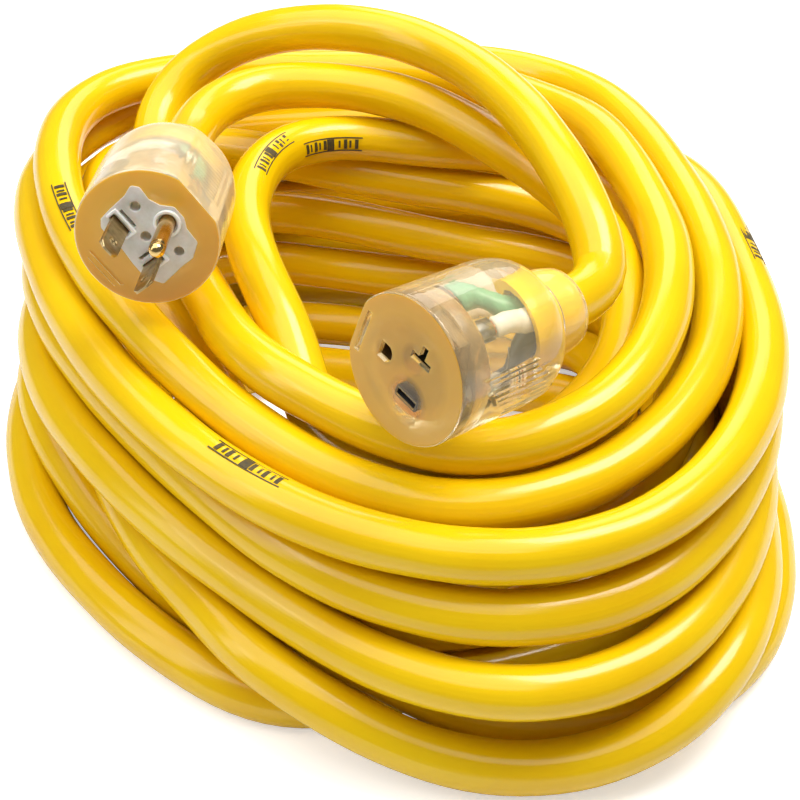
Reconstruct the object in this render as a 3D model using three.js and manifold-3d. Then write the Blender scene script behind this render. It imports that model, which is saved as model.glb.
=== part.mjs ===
// Coiled three-conductor supply cord with a clear moulded 20 A plug at one end
// and a clear moulded 20 A connector at the other. Millimetres, +Z up, the coil
// stands on Z = 0 and the origin is under the middle of its box.
import * as THREE from "three";
import { mergeVertices } from "three/addons/utils/BufferGeometryUtils.js";
import Module from "manifold-3d";

// ---------------------------------------------------------------- dimensions
const JACKET_R = 7.75; // circumscribed radius of the eight-sided jacket
const JACKET_BORE_R = 5.9; // circumscribed radius of the six-sided bore
const CORE_R = 2.0; // insulated conductor
const CORE_PITCH_R = 2.7; // conductors lie on this circle
const BARREL_R = 21.5; // moulded body of both ends
const END_LENGTH = 62; // face to the end of the strain relief
const BORE_R = 8.2; // bore for the cord in the strain relief
const CHAMBER_R = 13.6; // hollow behind the carrier
const CARRIER_T = 7.0; // carrier thickness
const GAP = 0.3; // clearance between separate pieces
const FLEX_AT = 68; // flexing point, behind the face
const FLEX_HALF_GAP = 2.5; // the cord is divided by twice this at the flexing point
const BLADE_W = 6.35;
const BLADE_T = 1.5;
const BLADE_OUT = 18.2; // blade length in front of the face
const PIN_D = 4.75;
const PIN_OUT = 20.6;
const HOT_X = 6.9; // the upright blade
const NEUTRAL_X = -7.9; // the crosswise blade
const BLADES_Y = -3.7;
const GROUND_Y = 8.0;
const TAIL_Z = -13; // rear end of the blades, where the crimp barrels begin

// Where each end is and how it is turned: middle of the face, outward axis,
// and the direction from the blades to the grounding pin.
const PLUG_FACE = [-68.56, -36.76, 117.70];
const PLUG_AXIS = [-0.040004, -0.984108, 0.173004];
const PLUG_UP = [0.793014, 0.074067, 0.604684];
const CONNECTOR_FACE = [6.28, -97.17, 116.70];
const CONNECTOR_AXIS = [-0.710047, -0.680851, 0.179654];
const CONNECTOR_UP = [-0.643974, 0.731076, 0.225446];

// Centre line of the cord from the plug to the connector.
const STATIONS = [
  -65.7, 32.6, 105.5, -57.3, 65.4, 103.2, -31.1, 79.0, 103.4, -2.8, 73.8, 103.6, 18.8, 62.2, 102.3, 35.6, 49.2, 99.4,
  52.7, 33.7, 95.2, 70.9, 10.6, 87.3, 76.4, -21.8, 78.5, 62.9, -55.2, 72.2, 34.0, -78.2, 69.2, -2.4, -79.0, 66.7,
  -17.3, -67.3, 68.7, -25.4, -44.9, 77.6, -35.3, -21.9, 87.7, -41.5, -5.4, 90.8, -44.6, 10.8, 91.7, -44.8, 28.3, 91.7,
  -40.0, 48.1, 91.1, -25.2, 64.5, 89.6, -2.8, 68.2, 87.8, 20.6, 67.0, 85.8, 56.2, 69.7, 78.9, 72.5, 62.3, 75.2,
  83.4, 46.4, 75.1, 87.5, 11.1, 71.6, 80.1, -23.7, 61.8, 62.5, -54.3, 55.7, 34.9, -80.1, 52.8, -3.0, -90.1, 54.0,
  -21.7, -83.5, 55.3, -36.1, -69.1, 56.3, -51.1, -37.7, 58.9, -63.6, -14.6, 62.2, -80.5, 10.9, 67.3, -98.2, 50.4, 73.5,
  -98.4, 74.2, 71.8, -81.9, 89.8, 69.4, -29.6, 75.9, 73.8, -3.0, 69.6, 71.4, 20.1, 65.6, 69.4, 48.6, 62.3, 65.4,
  81.6, 45.6, 58.7, 94.8, 11.1, 56.5, 94.4, -29.4, 51.2, 74.9, -67.0, 44.3, 38.9, -90.3, 39.2, -2.5, -97.5, 39.1,
  -40.0, -78.9, 40.2, -66.0, -52.7, 40.6, -82.6, -22.1, 42.7, -88.1, 10.8, 48.3, -83.2, 44.0, 52.3, -61.9, 70.2, 53.6,
  -28.7, 73.7, 52.6, -2.5, 67.3, 51.2, 18.2, 62.0, 49.7, 44.3, 57.9, 47.1, 80.4, 45.4, 42.3, 99.1, 10.9, 40.5,
  99.8, -31.9, 34.9, 79.8, -71.9, 27.5, 41.6, -96.4, 23.2, -2.4, -98.1, 22.8, -40.8, -81.2, 23.9, -65.1, -51.4, 24.1,
  -78.9, -20.9, 23.7, -86.8, 10.8, 27.4, -84.0, 44.6, 32.4, -61.0, 68.9, 33.3, -27.0, 69.3, 32.6, -2.9, 64.9, 31.8,
  19.0, 63.5, 30.7, 48.1, 62.0, 28.9, 81.1, 45.8, 26.0, 95.7, 11.1, 24.6, 92.0, -28.5, 21.0, 73.1, -65.0, 14.0,
  37.7, -87.4, 8.2, -2.9, -91.6, 7.7, -39.0, -76.9, 7.7, -65.5, -51.8, 7.7, -83.4, -22.5, 7.9, -86.9, 11.0, 9.1,
  -76.4, 41.3, 11.5, -50.2, 58.4, 13.3, -22.9, 59.6, 12.8, -3.0, 57.8, 11.7, 15.9, 56.0, 10.5, 39.1, 52.6, 10.3,
  65.5, 39.1, 17.8, 78.7, 11.1, 24.9, 79.5, -23.4, 10.7, 62.6, -54.3, 7.7, 31.7, -72.1, 7.7, -2.9, -74.4, 7.7,
  -32.6, -60.9, 7.7, -53.6, -40.3, 7.7, -67.8, -16.4, 7.7, -70.1, 10.8, 7.7, -56.9, 33.1, 7.7, -31.7, 39.7, 7.7,
  -13.9, 37.4, 7.7, -2.6, 35.2, 7.7, 6.7, 33.4, 7.7, 18.0, 31.4, 7.7, 39.1, 27.7, 7.7, 87.3, 10.0, 7.7,
  99.6, -7.3, 7.7, 101.8, -32.6, 7.7, 84.3, -76.1, 7.7, 44.3, -102.4, 7.7, -2.6, -115.4, 7.7, -28.1, -118.8, 7.7,
  -52.0, -107.6, 7.7, -88.2, -74.8, 7.7, -114.7, -35.6, 7.7, -126.7, 10.7, 7.7, -125.6, 36.6, 7.7, -116.6, 58.1, 7.8,
  -99.7, 75.0, 8.3, -76.9, 85.0, 8.7, -35.2, 89.3, 8.8, -2.7, 89.1, 8.7, 28.7, 86.7, 8.4, 63.9, 77.4, 7.9,
  98.8, 52.9, 7.7, 120.6, 10.6, 7.7, 126.7, -42.8, 7.7, 121.7, -76.3, 7.7, 109.2, -101.2, 7.7, 86.8, -118.3, 7.7,
  53.9, -126.4, 7.7, 28.0, -126.7, 12.2, -2.9, -118.2, 26.0, -45.6, -92.3, 12.5, -76.8, -63.4, 10.7, -102.4, -30.2, 17.1,
  -120.9, 11.0, 23.2, -114.0, 56.7, 24.0, -99.8, 75.3, 24.8, -79.2, 87.2, 25.3, -36.8, 93.2, 26.3, -2.8, 93.1, 26.2,
  30.1, 90.7, 25.4, 66.5, 80.2, 24.7, 98.0, 52.5, 24.2, 113.1, 10.9, 22.7, 118.6, -39.3, 22.2, 108.8, -101.1, 24.5,
  90.1, -128.8, 20.7, 60.6, -141.9, 11.0, 29.3, -142.9, 9.3, -3.0, -135.8, 16.7, -30.1, -122.1, 24.5, -49.5, -101.5, 25.9,
  -76.9, -63.4, 27.6, -93.0, -26.3, 30.2, -101.8, 10.8, 34.7, -98.3, 50.6, 38.8, -74.6, 82.6, 40.9, -38.2, 96.5, 43.8,
  -2.8, 97.5, 43.7, 32.1, 94.9, 42.2, 70.5, 84.3, 40.8, 103.7, 55.0, 39.5, 116.4, 10.6, 38.8, 117.7, -39.3, 38.6,
  102.7, -94.9, 38.6, 82.9, -121.7, 38.1, 58.6, -137.2, 38.3, 27.0, -139.9, 38.5, -2.9, -128.8, 39.1, -46.7, -94.9, 40.9,
  -77.9, -64.1, 43.8, -102.1, -30.5, 43.3, -118.3, 10.7, 40.2, -120.6, 35.5, 39.8, -115.1, 57.2, 40.8, -101.8, 77.1, 45.2,
  -83.1, 91.1, 52.2, -39.7, 100.2, 59.9, -2.7, 100.5, 61.0, 33.2, 98.1, 61.0, 72.7, 86.3, 58.5, 107.2, 56.3, 55.5,
  118.9, 10.7, 55.0, 117.9, -39.2, 55.0, 97.7, -89.9, 54.0, 77.3, -112.4, 53.5, 53.5, -124.8, 53.8, 25.7, -127.0, 54.3,
  -2.8, -118.3, 54.7, -43.4, -87.0, 55.4, -70.0, -56.5, 56.1, -92.0, -26.1, 55.7, -111.9, 10.8, 55.5, -118.8, 58.7, 56.8,
  -109.9, 82.9, 58.5, -93.3, 101.3, 61.0, -46.2, 115.7, 64.0, -2.8, 115.9, 66.7, 39.0, 111.9, 68.7, 83.7, 97.0, 65.9,
  101.3, 81.1, 68.3, 111.6, 58.1, 71.2, 118.9, 10.7, 71.5, 117.4, -39.1, 71.6, 95.8, -87.6, 71.7, 75.2, -107.8, 71.7,
  50.8, -119.1, 71.7, 25.0, -121.2, 71.7, -2.8, -114.8, 71.6, -44.0, -88.7, 71.7, -72.4, -58.5, 72.2, -93.2, -26.8, 72.1,
  -110.7, 10.9, 71.9, -122.4, 60.2, 72.9, -118.1, 87.2, 72.1, -103.4, 111.5, 71.3, -82.7, 128.5, 72.7, -55.7, 138.3, 75.7,
  -3.0, 143.0, 77.6, 49.2, 136.1, 77.6, 69.4, 121.8, 79.3, 84.7, 98.1, 82.3, 99.8, 53.1, 82.0, 106.2, 10.7, 82.0,
  102.6, -32.8, 78.0, 81.4, -73.2, 74.0, 42.9, -99.1, 71.1, -2.7, -96.2, 72.3, -37.4, -73.0, 75.5, -61.7, -48.1, 79.3,
  -82.0, -21.8, 83.1, -100.3, 10.8, 85.3, -113.9, 56.7, 87.1, -112.8, 84.0, 87.4, -99.0, 107.3, 86.5, -79.1, 118.5, 85.3,
  -49.8, 124.2, 83.8, -2.9, 124.1, 84.1, 38.4, 110.0, 85.5, 67.0, 80.6, 90.4, 81.9, 45.9, 92.0, 88.8, 10.6, 91.4,
  87.6, -26.7, 90.9, 72.6, -64.4, 88.0, 57.2, -79.8, 86.5, 38.4, -88.6, 83.9, 18.7, -88.0, 84.3, -3.0, -81.3, 84.3,
  -32.6, -60.0, 86.3, -48.3, -34.8, 83.2, -56.9, -11.5, 79.7, -65.5, 10.7, 77.0, -76.1, 41.3, 74.3, -81.9, 66.0, 78.6,
  -80.9, 89.2, 87.6, -63.9, 103.6, 101.1, -39.4, 99.2, 113.3, -2.7, 85.5, 120.5, 21.1, 68.3, 121.0, 35.6, 49.2, 120.8,
  45.2, 30.6, 120.2, 53.2, 10.7, 118.4, 62.3, -16.0, 111.8, 64.4, -36.5, 104.7, 56.2, -49.2, 104.2,
];

// ------------------------------------------------------------------ helpers
const wasm = await Module();
wasm.setup();

function solid(geometry) {
  const g = geometry.index ? geometry.toNonIndexed() : geometry.clone();
  g.deleteAttribute("normal");
  g.deleteAttribute("uv");
  const m = mergeVertices(g, 1e-4);
  const src = m.index.array;
  const tri = [];
  for (let i = 0; i < src.length; i += 3) {
    const [a, b, c] = [src[i], src[i + 1], src[i + 2]];
    if (a !== b && b !== c && a !== c) tri.push(a, b, c);
  }
  return new wasm.Manifold(
    new wasm.Mesh({
      numProp: 3,
      vertProperties: new Float32Array(m.attributes.position.array),
      triVerts: new Uint32Array(tri),
    }),
  );
}

function geometryOf(manifold) {
  const mesh = manifold.getMesh();
  const g = new THREE.BufferGeometry();
  g.setAttribute(
    "position",
    new THREE.BufferAttribute(new Float32Array(mesh.vertProperties), 3),
  );
  g.setIndex(new THREE.BufferAttribute(new Uint32Array(mesh.triVerts), 1));
  const flat = g.toNonIndexed();
  flat.computeVertexNormals();
  return flat;
}

// A body turned about the local Z axis; profile is [radius, z] from the rear
// end on the axis to the front end on the axis.
function turned(profile, segments) {
  const g = new THREE.LatheGeometry(
    profile.map(([r, z]) => new THREE.Vector2(r, z)),
    segments,
  );
  g.rotateX(Math.PI / 2);
  return solid(g);
}

function rod(r, z0, z1, segments, x = 0, y = 0, turn = 0) {
  const g = new THREE.CylinderGeometry(r, r, z1 - z0, segments);
  g.rotateX(Math.PI / 2);
  g.rotateZ(turn);
  g.translate(x, y, (z0 + z1) / 2);
  return solid(g);
}

function block(x0, x1, y0, y1, z0, z1) {
  const g = new THREE.BoxGeometry(x1 - x0, y1 - y0, z1 - z0);
  g.translate((x0 + x1) / 2, (y0 + y1) / 2, (z0 + z1) / 2);
  return solid(g);
}

function prism(points, z0, z1) {
  const g = new THREE.ExtrudeGeometry(
    new THREE.Shape(points.map(([x, y]) => new THREE.Vector2(x, y))),
    { depth: z1 - z0, bevelEnabled: false },
  );
  g.translate(0, 0, z0);
  return solid(g);
}

// Outline pushed outwards by d (the outline runs counter-clockwise).
function grown(points, d) {
  const n = points.length;
  return points.map((p, i) => {
    const a = points[(i + n - 1) % n];
    const b = points[(i + 1) % n];
    const u = new THREE.Vector2(p[0] - a[0], p[1] - a[1]).normalize();
    const v = new THREE.Vector2(b[0] - p[0], b[1] - p[1]).normalize();
    const nu = new THREE.Vector2(u.y, -u.x);
    const nv = new THREE.Vector2(v.y, -v.x);
    const k = d / (1 + nu.dot(nv));
    return [p[0] + (nu.x + nv.x) * k, p[1] + (nu.y + nv.y) * k];
  });
}

// Frames carried along a polyline without twist: one per point, in the plane
// that halves the corner.
function frames(points, firstAcross) {
  const n = points.length;
  const dir = [];
  for (let i = 0; i < n - 1; i++)
    dir.push(points[i + 1].clone().sub(points[i]).normalize());
  const out = [];
  let across = firstAcross.clone();
  for (let i = 0; i < n; i++) {
    const before = dir[Math.max(0, i - 1)];
    const after = dir[Math.min(n - 2, i)];
    const tangent = before.clone().add(after).normalize();
    if (i > 0) {
      const q = new THREE.Quaternion().setFromUnitVectors(
        out[i - 1].tangent,
        tangent,
      );
      across = out[i - 1].across.clone().applyQuaternion(q);
    }
    across = across
      .clone()
      .addScaledVector(tangent, -across.dot(tangent))
      .normalize();
    out.push({
      at: points[i],
      tangent,
      across,
      aside: tangent.clone().cross(across),
    });
  }
  return out;
}

// Rings of one section along the frames: centre offset (a, b), radius r.
function rings(list, r, sides, phase, offset) {
  return list.map((f) => {
    const ring = [];
    for (let k = 0; k < sides; k++) {
      const t = phase + (k / sides) * 2 * Math.PI + (f.turn || 0) * 0;
      const o = offset ? offset(f) : [0, 0];
      const a = o[0] + r * Math.cos(t);
      const b = o[1] + r * Math.sin(t);
      ring.push(
        f.at.clone().addScaledVector(f.across, a).addScaledVector(f.aside, b),
      );
    }
    return ring;
  });
}

// Closed tube wall from outer rings and, if given, inner rings.
function tube(outer, inner) {
  const pos = [];
  const tri = (a, b, c) => pos.push(a.x, a.y, a.z, b.x, b.y, b.z, c.x, c.y, c.z);
  const wall = (R, flip) => {
    for (let i = 0; i < R.length - 1; i++)
      for (let k = 0; k < R[i].length; k++) {
        const l = (k + 1) % R[i].length;
        const [p, q, s, t] = [R[i][k], R[i][l], R[i + 1][l], R[i + 1][k]];
        if (flip) {
          tri(p, s, q);
          tri(p, t, s);
        } else {
          tri(p, q, s);
          tri(p, s, t);
        }
      }
  };
  const cap = (ring, hole, flip) => {
    // the section is triangulated in its own plane
    const o = ring[0];
    const e1 = ring[1].clone().sub(o).normalize();
    const nrm = e1
      .clone()
      .cross(ring[2].clone().sub(o))
      .normalize();
    const e2 = nrm.clone().cross(e1);
    const flat = (p) => {
      const d = p.clone().sub(o);
      return new THREE.Vector2(d.dot(e1), d.dot(e2));
    };
    const holes = hole ? [hole.map(flat).reverse()] : [];
    const all = ring.concat(hole ? hole.slice().reverse() : []);
    for (const [a, b, c] of THREE.ShapeUtils.triangulateShape(
      ring.map(flat),
      holes,
    ))
      flip ? tri(all[a], all[c], all[b]) : tri(all[a], all[b], all[c]);
  };
  wall(outer, false);
  if (inner) wall(inner, true);
  cap(outer[0], inner && inner[0], true);
  cap(outer[outer.length - 1], inner && inner[inner.length - 1], false);
  const g = new THREE.BufferGeometry();
  g.setAttribute("position", new THREE.Float32BufferAttribute(pos, 3));
  g.computeVertexNormals();
  return g;
}

const V3 = (a) => new THREE.Vector3(a[0], a[1], a[2]);

function material(color, roughness, metalness = 0, opacity = 1) {
  return new THREE.MeshStandardMaterial({
    color,
    roughness,
    metalness,
    opacity,
    transparent: opacity < 1,
  });
}
const YELLOW = () => material(0xf2bd00, 0.3);
const CLEAR = () => material(0xdcc08a, 0.15, 0, 0.55);
const CARRIER = () => material(0xd9d6cf, 0.4, 0, 0.85);
const BRASS = () => material(0xa58a4c, 0.35, 1);
const STEEL = () => material(0x6c6f75, 0.35, 1);
const COPPER = () => material(0xb8693a, 0.35, 1);
const BLACK = () => material(0x1a1a1c, 0.5);
const WHITE = () => material(0xe9e7df, 0.5);
const GREEN = () => material(0x3fa36b, 0.5);
const GLASS = () => material(0xf0e6d8, 0.1, 0, 0.6);
const TAN = () => material(0xc9a77a, 0.6);

const cord = new THREE.Group();
cord.name = "supply_cord";
function add(parent, name, geometry, mat) {
  const mesh = new THREE.Mesh(geometry, mat);
  mesh.name = name;
  parent.add(mesh);
}

// Local frame of an end: X across, Y towards the grounding pin, Z outwards.
function endGroup(name, face, axis, up) {
  const z = V3(axis).normalize();
  const y = V3(up).addScaledVector(z, -V3(up).dot(z)).normalize();
  const x = y.clone().cross(z);
  const g = new THREE.Group();
  g.name = name;
  g.quaternion.setFromRotationMatrix(new THREE.Matrix4().makeBasis(x, y, z));
  g.position.copy(V3(face));
  cord.add(g);
  return { group: g, x, y, z };
}
const plug = endGroup("plug_end", PLUG_FACE, PLUG_AXIS, PLUG_UP);
const conn = endGroup(
  "connector_end",
  CONNECTOR_FACE,
  CONNECTOR_AXIS,
  CONNECTOR_UP,
);

// ---------------------------------------------------------- the coiled cord
{
  const pts = [];
  for (let i = 0; i < STATIONS.length; i += 3)
    pts.push(new THREE.Vector3(STATIONS[i], STATIONS[i + 1], STATIONS[i + 2]));
  // both ends stop square on the connectors' axes
  pts[0] = V3(PLUG_FACE).addScaledVector(plug.z, -(FLEX_AT + FLEX_HALF_GAP));
  pts[pts.length - 1] = V3(CONNECTOR_FACE).addScaledVector(
    conn.z,
    -(FLEX_AT + FLEX_HALF_GAP),
  );
  const line = frames(pts, plug.x);
  line[0].tangent.copy(plug.z).negate();
  line[line.length - 1].tangent.copy(conn.z);
  for (const f of [line[0], line[line.length - 1]]) {
    f.across.addScaledVector(f.tangent, -f.across.dot(f.tangent)).normalize();
    f.aside = f.tangent.clone().cross(f.across);
  }
  // the conductors twist slowly so that each one meets its own lead at both ends
  const last = line[line.length - 1];
  const want = conn.x.clone().negate();
  const twist = Math.atan2(want.dot(last.aside), want.dot(last.across));
  const core = (angle) => (f) => {
    const i = line.indexOf(f);
    const t = angle + (twist * i) / (line.length - 1);
    return [CORE_PITCH_R * Math.cos(t), CORE_PITCH_R * Math.sin(t)];
  };
  const turnedRings = (r, sides, phase, offset) =>
    line.map((f, i) => {
      const o = offset ? offset(f) : [0, 0];
      const ring = [];
      for (let k = 0; k < sides; k++) {
        const t =
          phase +
          (k / sides) * 2 * Math.PI +
          (offset ? (twist * i) / (line.length - 1) : 0);
        ring.push(
          f.at
            .clone()
            .addScaledVector(f.across, o[0] + r * Math.cos(t))
            .addScaledVector(f.aside, o[1] + r * Math.sin(t)),
        );
      }
      return ring;
    });
  add(
    cord,
    "cord_jacket",
    tube(
      turnedRings(JACKET_R, 8, Math.PI / 8),
      turnedRings(JACKET_BORE_R, 6, 0),
    ),
    YELLOW(),
  );
  for (const [name, deg, mat] of [
    ["core_hot", 30, BLACK()],
    ["core_neutral", 150, WHITE()],
    ["core_ground", 270, GREEN()],
  ]) {
    const a = THREE.MathUtils.degToRad(deg);
    add(cord, name, tube(turnedRings(CORE_R, 4, a, core(a))), mat);
  }
}

// ------------------------------------------------- parts shared by both ends
// Outline of the carrier plate, seen on the face, counter-clockwise.
const CARRIER_OUTLINE = [
  [14.1, -5.9],
  [13.1, 1.6],
  [12.9, 6.6],
  [9.9, 11.1],
  [4.7, 11.4],
  [1.7, 13.0],
  [-2.6, 13.0],
  [-5.6, 10.0],
  [-8.9, 8.6],
  [-13.2, 9.0],
  [-15.2, 7.2],
  [-13.9, 3.7],
  [-13.3, -2.7],
  [-12.6, -6.9],
  [-10.5, -8.7],
  [-5.3, -8.9],
  [-1.9, -8.3],
  [3.7, -8.9],
  [9.2, -9.1],
];

function barrelProfile(faceEdge) {
  return [
    [0, -END_LENGTH],
    [11.6, -END_LENGTH],
    [12.8, -60.6],
    [13.2, -57],
    [12.9, -50.4],
    [12.0, -48.6],
    [12.8, -46.8],
    [16.4, -45.6],
    [19.6, -43.0],
    [21.1, -38.6],
    [BARREL_R, -31],
    [BARREL_R, -faceEdge],
    [BARREL_R - faceEdge, 0],
    [0, 0],
  ];
}
function barrel() {
  return turned(barrelProfile(0.8), 28).subtract(
    block(-20, 20, 19.6, 30, -36.5, 2), // flat beside the grounding pin
  );
}
const passage = () =>
  rod(CHAMBER_R, -37, -CARRIER_T - GAP, 20).add(rod(BORE_R, -END_LENGTH - 1, -36, 14));

// A lead from its crimp barrel to its place in the cord, then straight.
function lead(parent, name, x, y, deg, mat) {
  const a = THREE.MathUtils.degToRad(deg);
  const cx = CORE_PITCH_R * Math.cos(a);
  const cy = CORE_PITCH_R * Math.sin(a);
  const P = [
    [x, y, -25.6],
    [x, y, -28.2],
    [cx + (x - cx) * 0.35, cy + (y - cy) * 0.35, -33],
    [cx, cy, -37.6],
    [cx, cy, -(FLEX_AT - FLEX_HALF_GAP)],
  ].map((p) => new THREE.Vector3(...p));
  const list = frames(P, new THREE.Vector3(1, 0, 0));
  add(parent, name, tube(rings(list, CORE_R, 6, a)), mat);
}

// Stripped end of the conductor inside the crimp barrel.
function strands(parent, name, x, y) {
  add(parent, name, geometryOf(rod(1.3, -25.3, -15.2, 8, x, y)), COPPER());
}

// Crimp barrel behind a blade or contact.
const crimp = (x, y) =>
  rod(2.5, -21.5, TAIL_Z, 10, x, y).subtract(rod(1.65, -23, -14.6, 8, x, y));

// Jacket end that stays in the moulded end.
function jacketEnd(parent, name) {
  const P = [
    new THREE.Vector3(0, 0, -39),
    new THREE.Vector3(0, 0, -(FLEX_AT - FLEX_HALF_GAP)),
  ];
  const list = frames(P, new THREE.Vector3(1, 0, 0));
  add(
    parent,
    name,
    tube(
      rings(list, JACKET_R, 8, Math.PI / 8),
      rings(list, JACKET_BORE_R, 6, 0),
    ),
    YELLOW(),
  );
}

// ------------------------------------------------------------------ the plug
{
  const g = plug.group;
  add(
    g,
    "plug_housing",
    geometryOf(
      barrel()
        .subtract(passage())
        .subtract(prism(grown(CARRIER_OUTLINE, GAP), -CARRIER_T - GAP - 0.2, 1)),
    ),
    CLEAR(),
  );

  const neutral = [NEUTRAL_X, BLADES_Y];
  const hot = [HOT_X, BLADES_Y];
  const ground = [0, GROUND_Y];
  const w = BLADE_W / 2;
  const t = BLADE_T / 2;
  const frameBar = (x, y, hx, hy, rim) =>
    block(x - hx - rim, x + hx + rim, y - hy - rim, y + hy + rim, -1, 0.8);
  const carrier = prism(CARRIER_OUTLINE, -CARRIER_T, 0)
    .add(frameBar(...neutral, w + GAP, t + GAP, 1.1))
    .add(frameBar(...hot, t + GAP, w + GAP, 1.1))
    .add(rod(PIN_D / 2 + GAP + 1.2, -1, 0.8, 18, ...ground))
    .subtract(
      block(
        neutral[0] - w - GAP,
        neutral[0] + w + GAP,
        neutral[1] - t - GAP,
        neutral[1] + t + GAP,
        -9,
        2,
      ),
    )
    .subtract(
      block(
        hot[0] - t - GAP,
        hot[0] + t + GAP,
        hot[1] - w - GAP,
        hot[1] + w + GAP,
        -9,
        2,
      ),
    )
    .subtract(rod(PIN_D / 2 + GAP, -9, 2, 16, ...ground))
    .subtract(rod(1.7, -9, 2, 10, -9.5, 3.9))
    .subtract(rod(1.7, -9, 2, 10, -0.6, 0.1))
    .subtract(rod(1.7, -9, 2, 10, 8.8, 4.8))
    .subtract(block(neutral[0] - 3.2, neutral[0] + 3.2, -0.9, 0.1, -9, 2))
    .subtract(block(3.3, 4.3, -6.2, -0.8, -9, 2));
  add(g, "plug_blade_carrier", geometryOf(carrier), CARRIER());

  // flat blades: tapered tip, hole near the tip, crimp barrel behind
  const bladeShape = (crosswise) => {
    const shape = new THREE.Shape(
      [
        [-w, TAIL_Z - 0.8],
        [w, TAIL_Z - 0.8],
        [w, BLADE_OUT - 1.6],
        [w - 1.5, BLADE_OUT],
        [-w + 1.5, BLADE_OUT],
        [-w, BLADE_OUT - 1.6],
      ].map((p) => new THREE.Vector2(...p)),
    );
    const hole = new THREE.Path();
    const n = 10;
    for (let k = 0; k < n; k++) {
      const a = (-k / n) * 2 * Math.PI;
      const [x, y] = [1.45 * Math.cos(a), 12.2 + 1.45 * Math.sin(a)];
      k ? hole.lineTo(x, y) : hole.moveTo(x, y);
    }
    hole.closePath();
    shape.holes.push(hole);
    const geo = new THREE.ExtrudeGeometry(shape, {
      depth: BLADE_T,
      bevelEnabled: false,
    });
    geo.translate(0, 0, -BLADE_T / 2);
    geo.rotateX(Math.PI / 2);
    if (!crosswise) geo.rotateZ(Math.PI / 2);
    return geo;
  };
  const blade = (at, crosswise) => {
    const geo = bladeShape(crosswise);
    geo.translate(at[0], at[1], 0);
    return solid(geo).add(crimp(...at));
  };
  add(g, "plug_blade_hot", geometryOf(blade(hot, false)), BRASS());
  add(g, "plug_blade_neutral", geometryOf(blade(neutral, true)), BRASS());
  const r = PIN_D / 2;
  add(
    g,
    "plug_ground_pin",
    geometryOf(
      turned(
        [
          [0, TAIL_Z - 0.8],
          [r, TAIL_Z - 0.8],
          [r, PIN_OUT - 2.0],
          [r * 0.8, PIN_OUT - 0.7],
          [r * 0.38, PIN_OUT - 0.1],
          [0, PIN_OUT],
        ],
        14,
      )
        .translate([ground[0], ground[1], 0])
        .add(crimp(...ground)),
    ),
    BRASS(),
  );
  for (const [name, at, deg, mat] of [
    ["hot", hot, -30, BLACK()],
    ["neutral", neutral, 210, WHITE()],
    ["ground", ground, 90, GREEN()],
  ]) {
    strands(g, `plug_strands_${name}`, ...at);
    lead(g, `plug_lead_${name}`, ...at, deg, mat);
  }
  jacketEnd(g, "plug_jacket_end");
}

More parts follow.
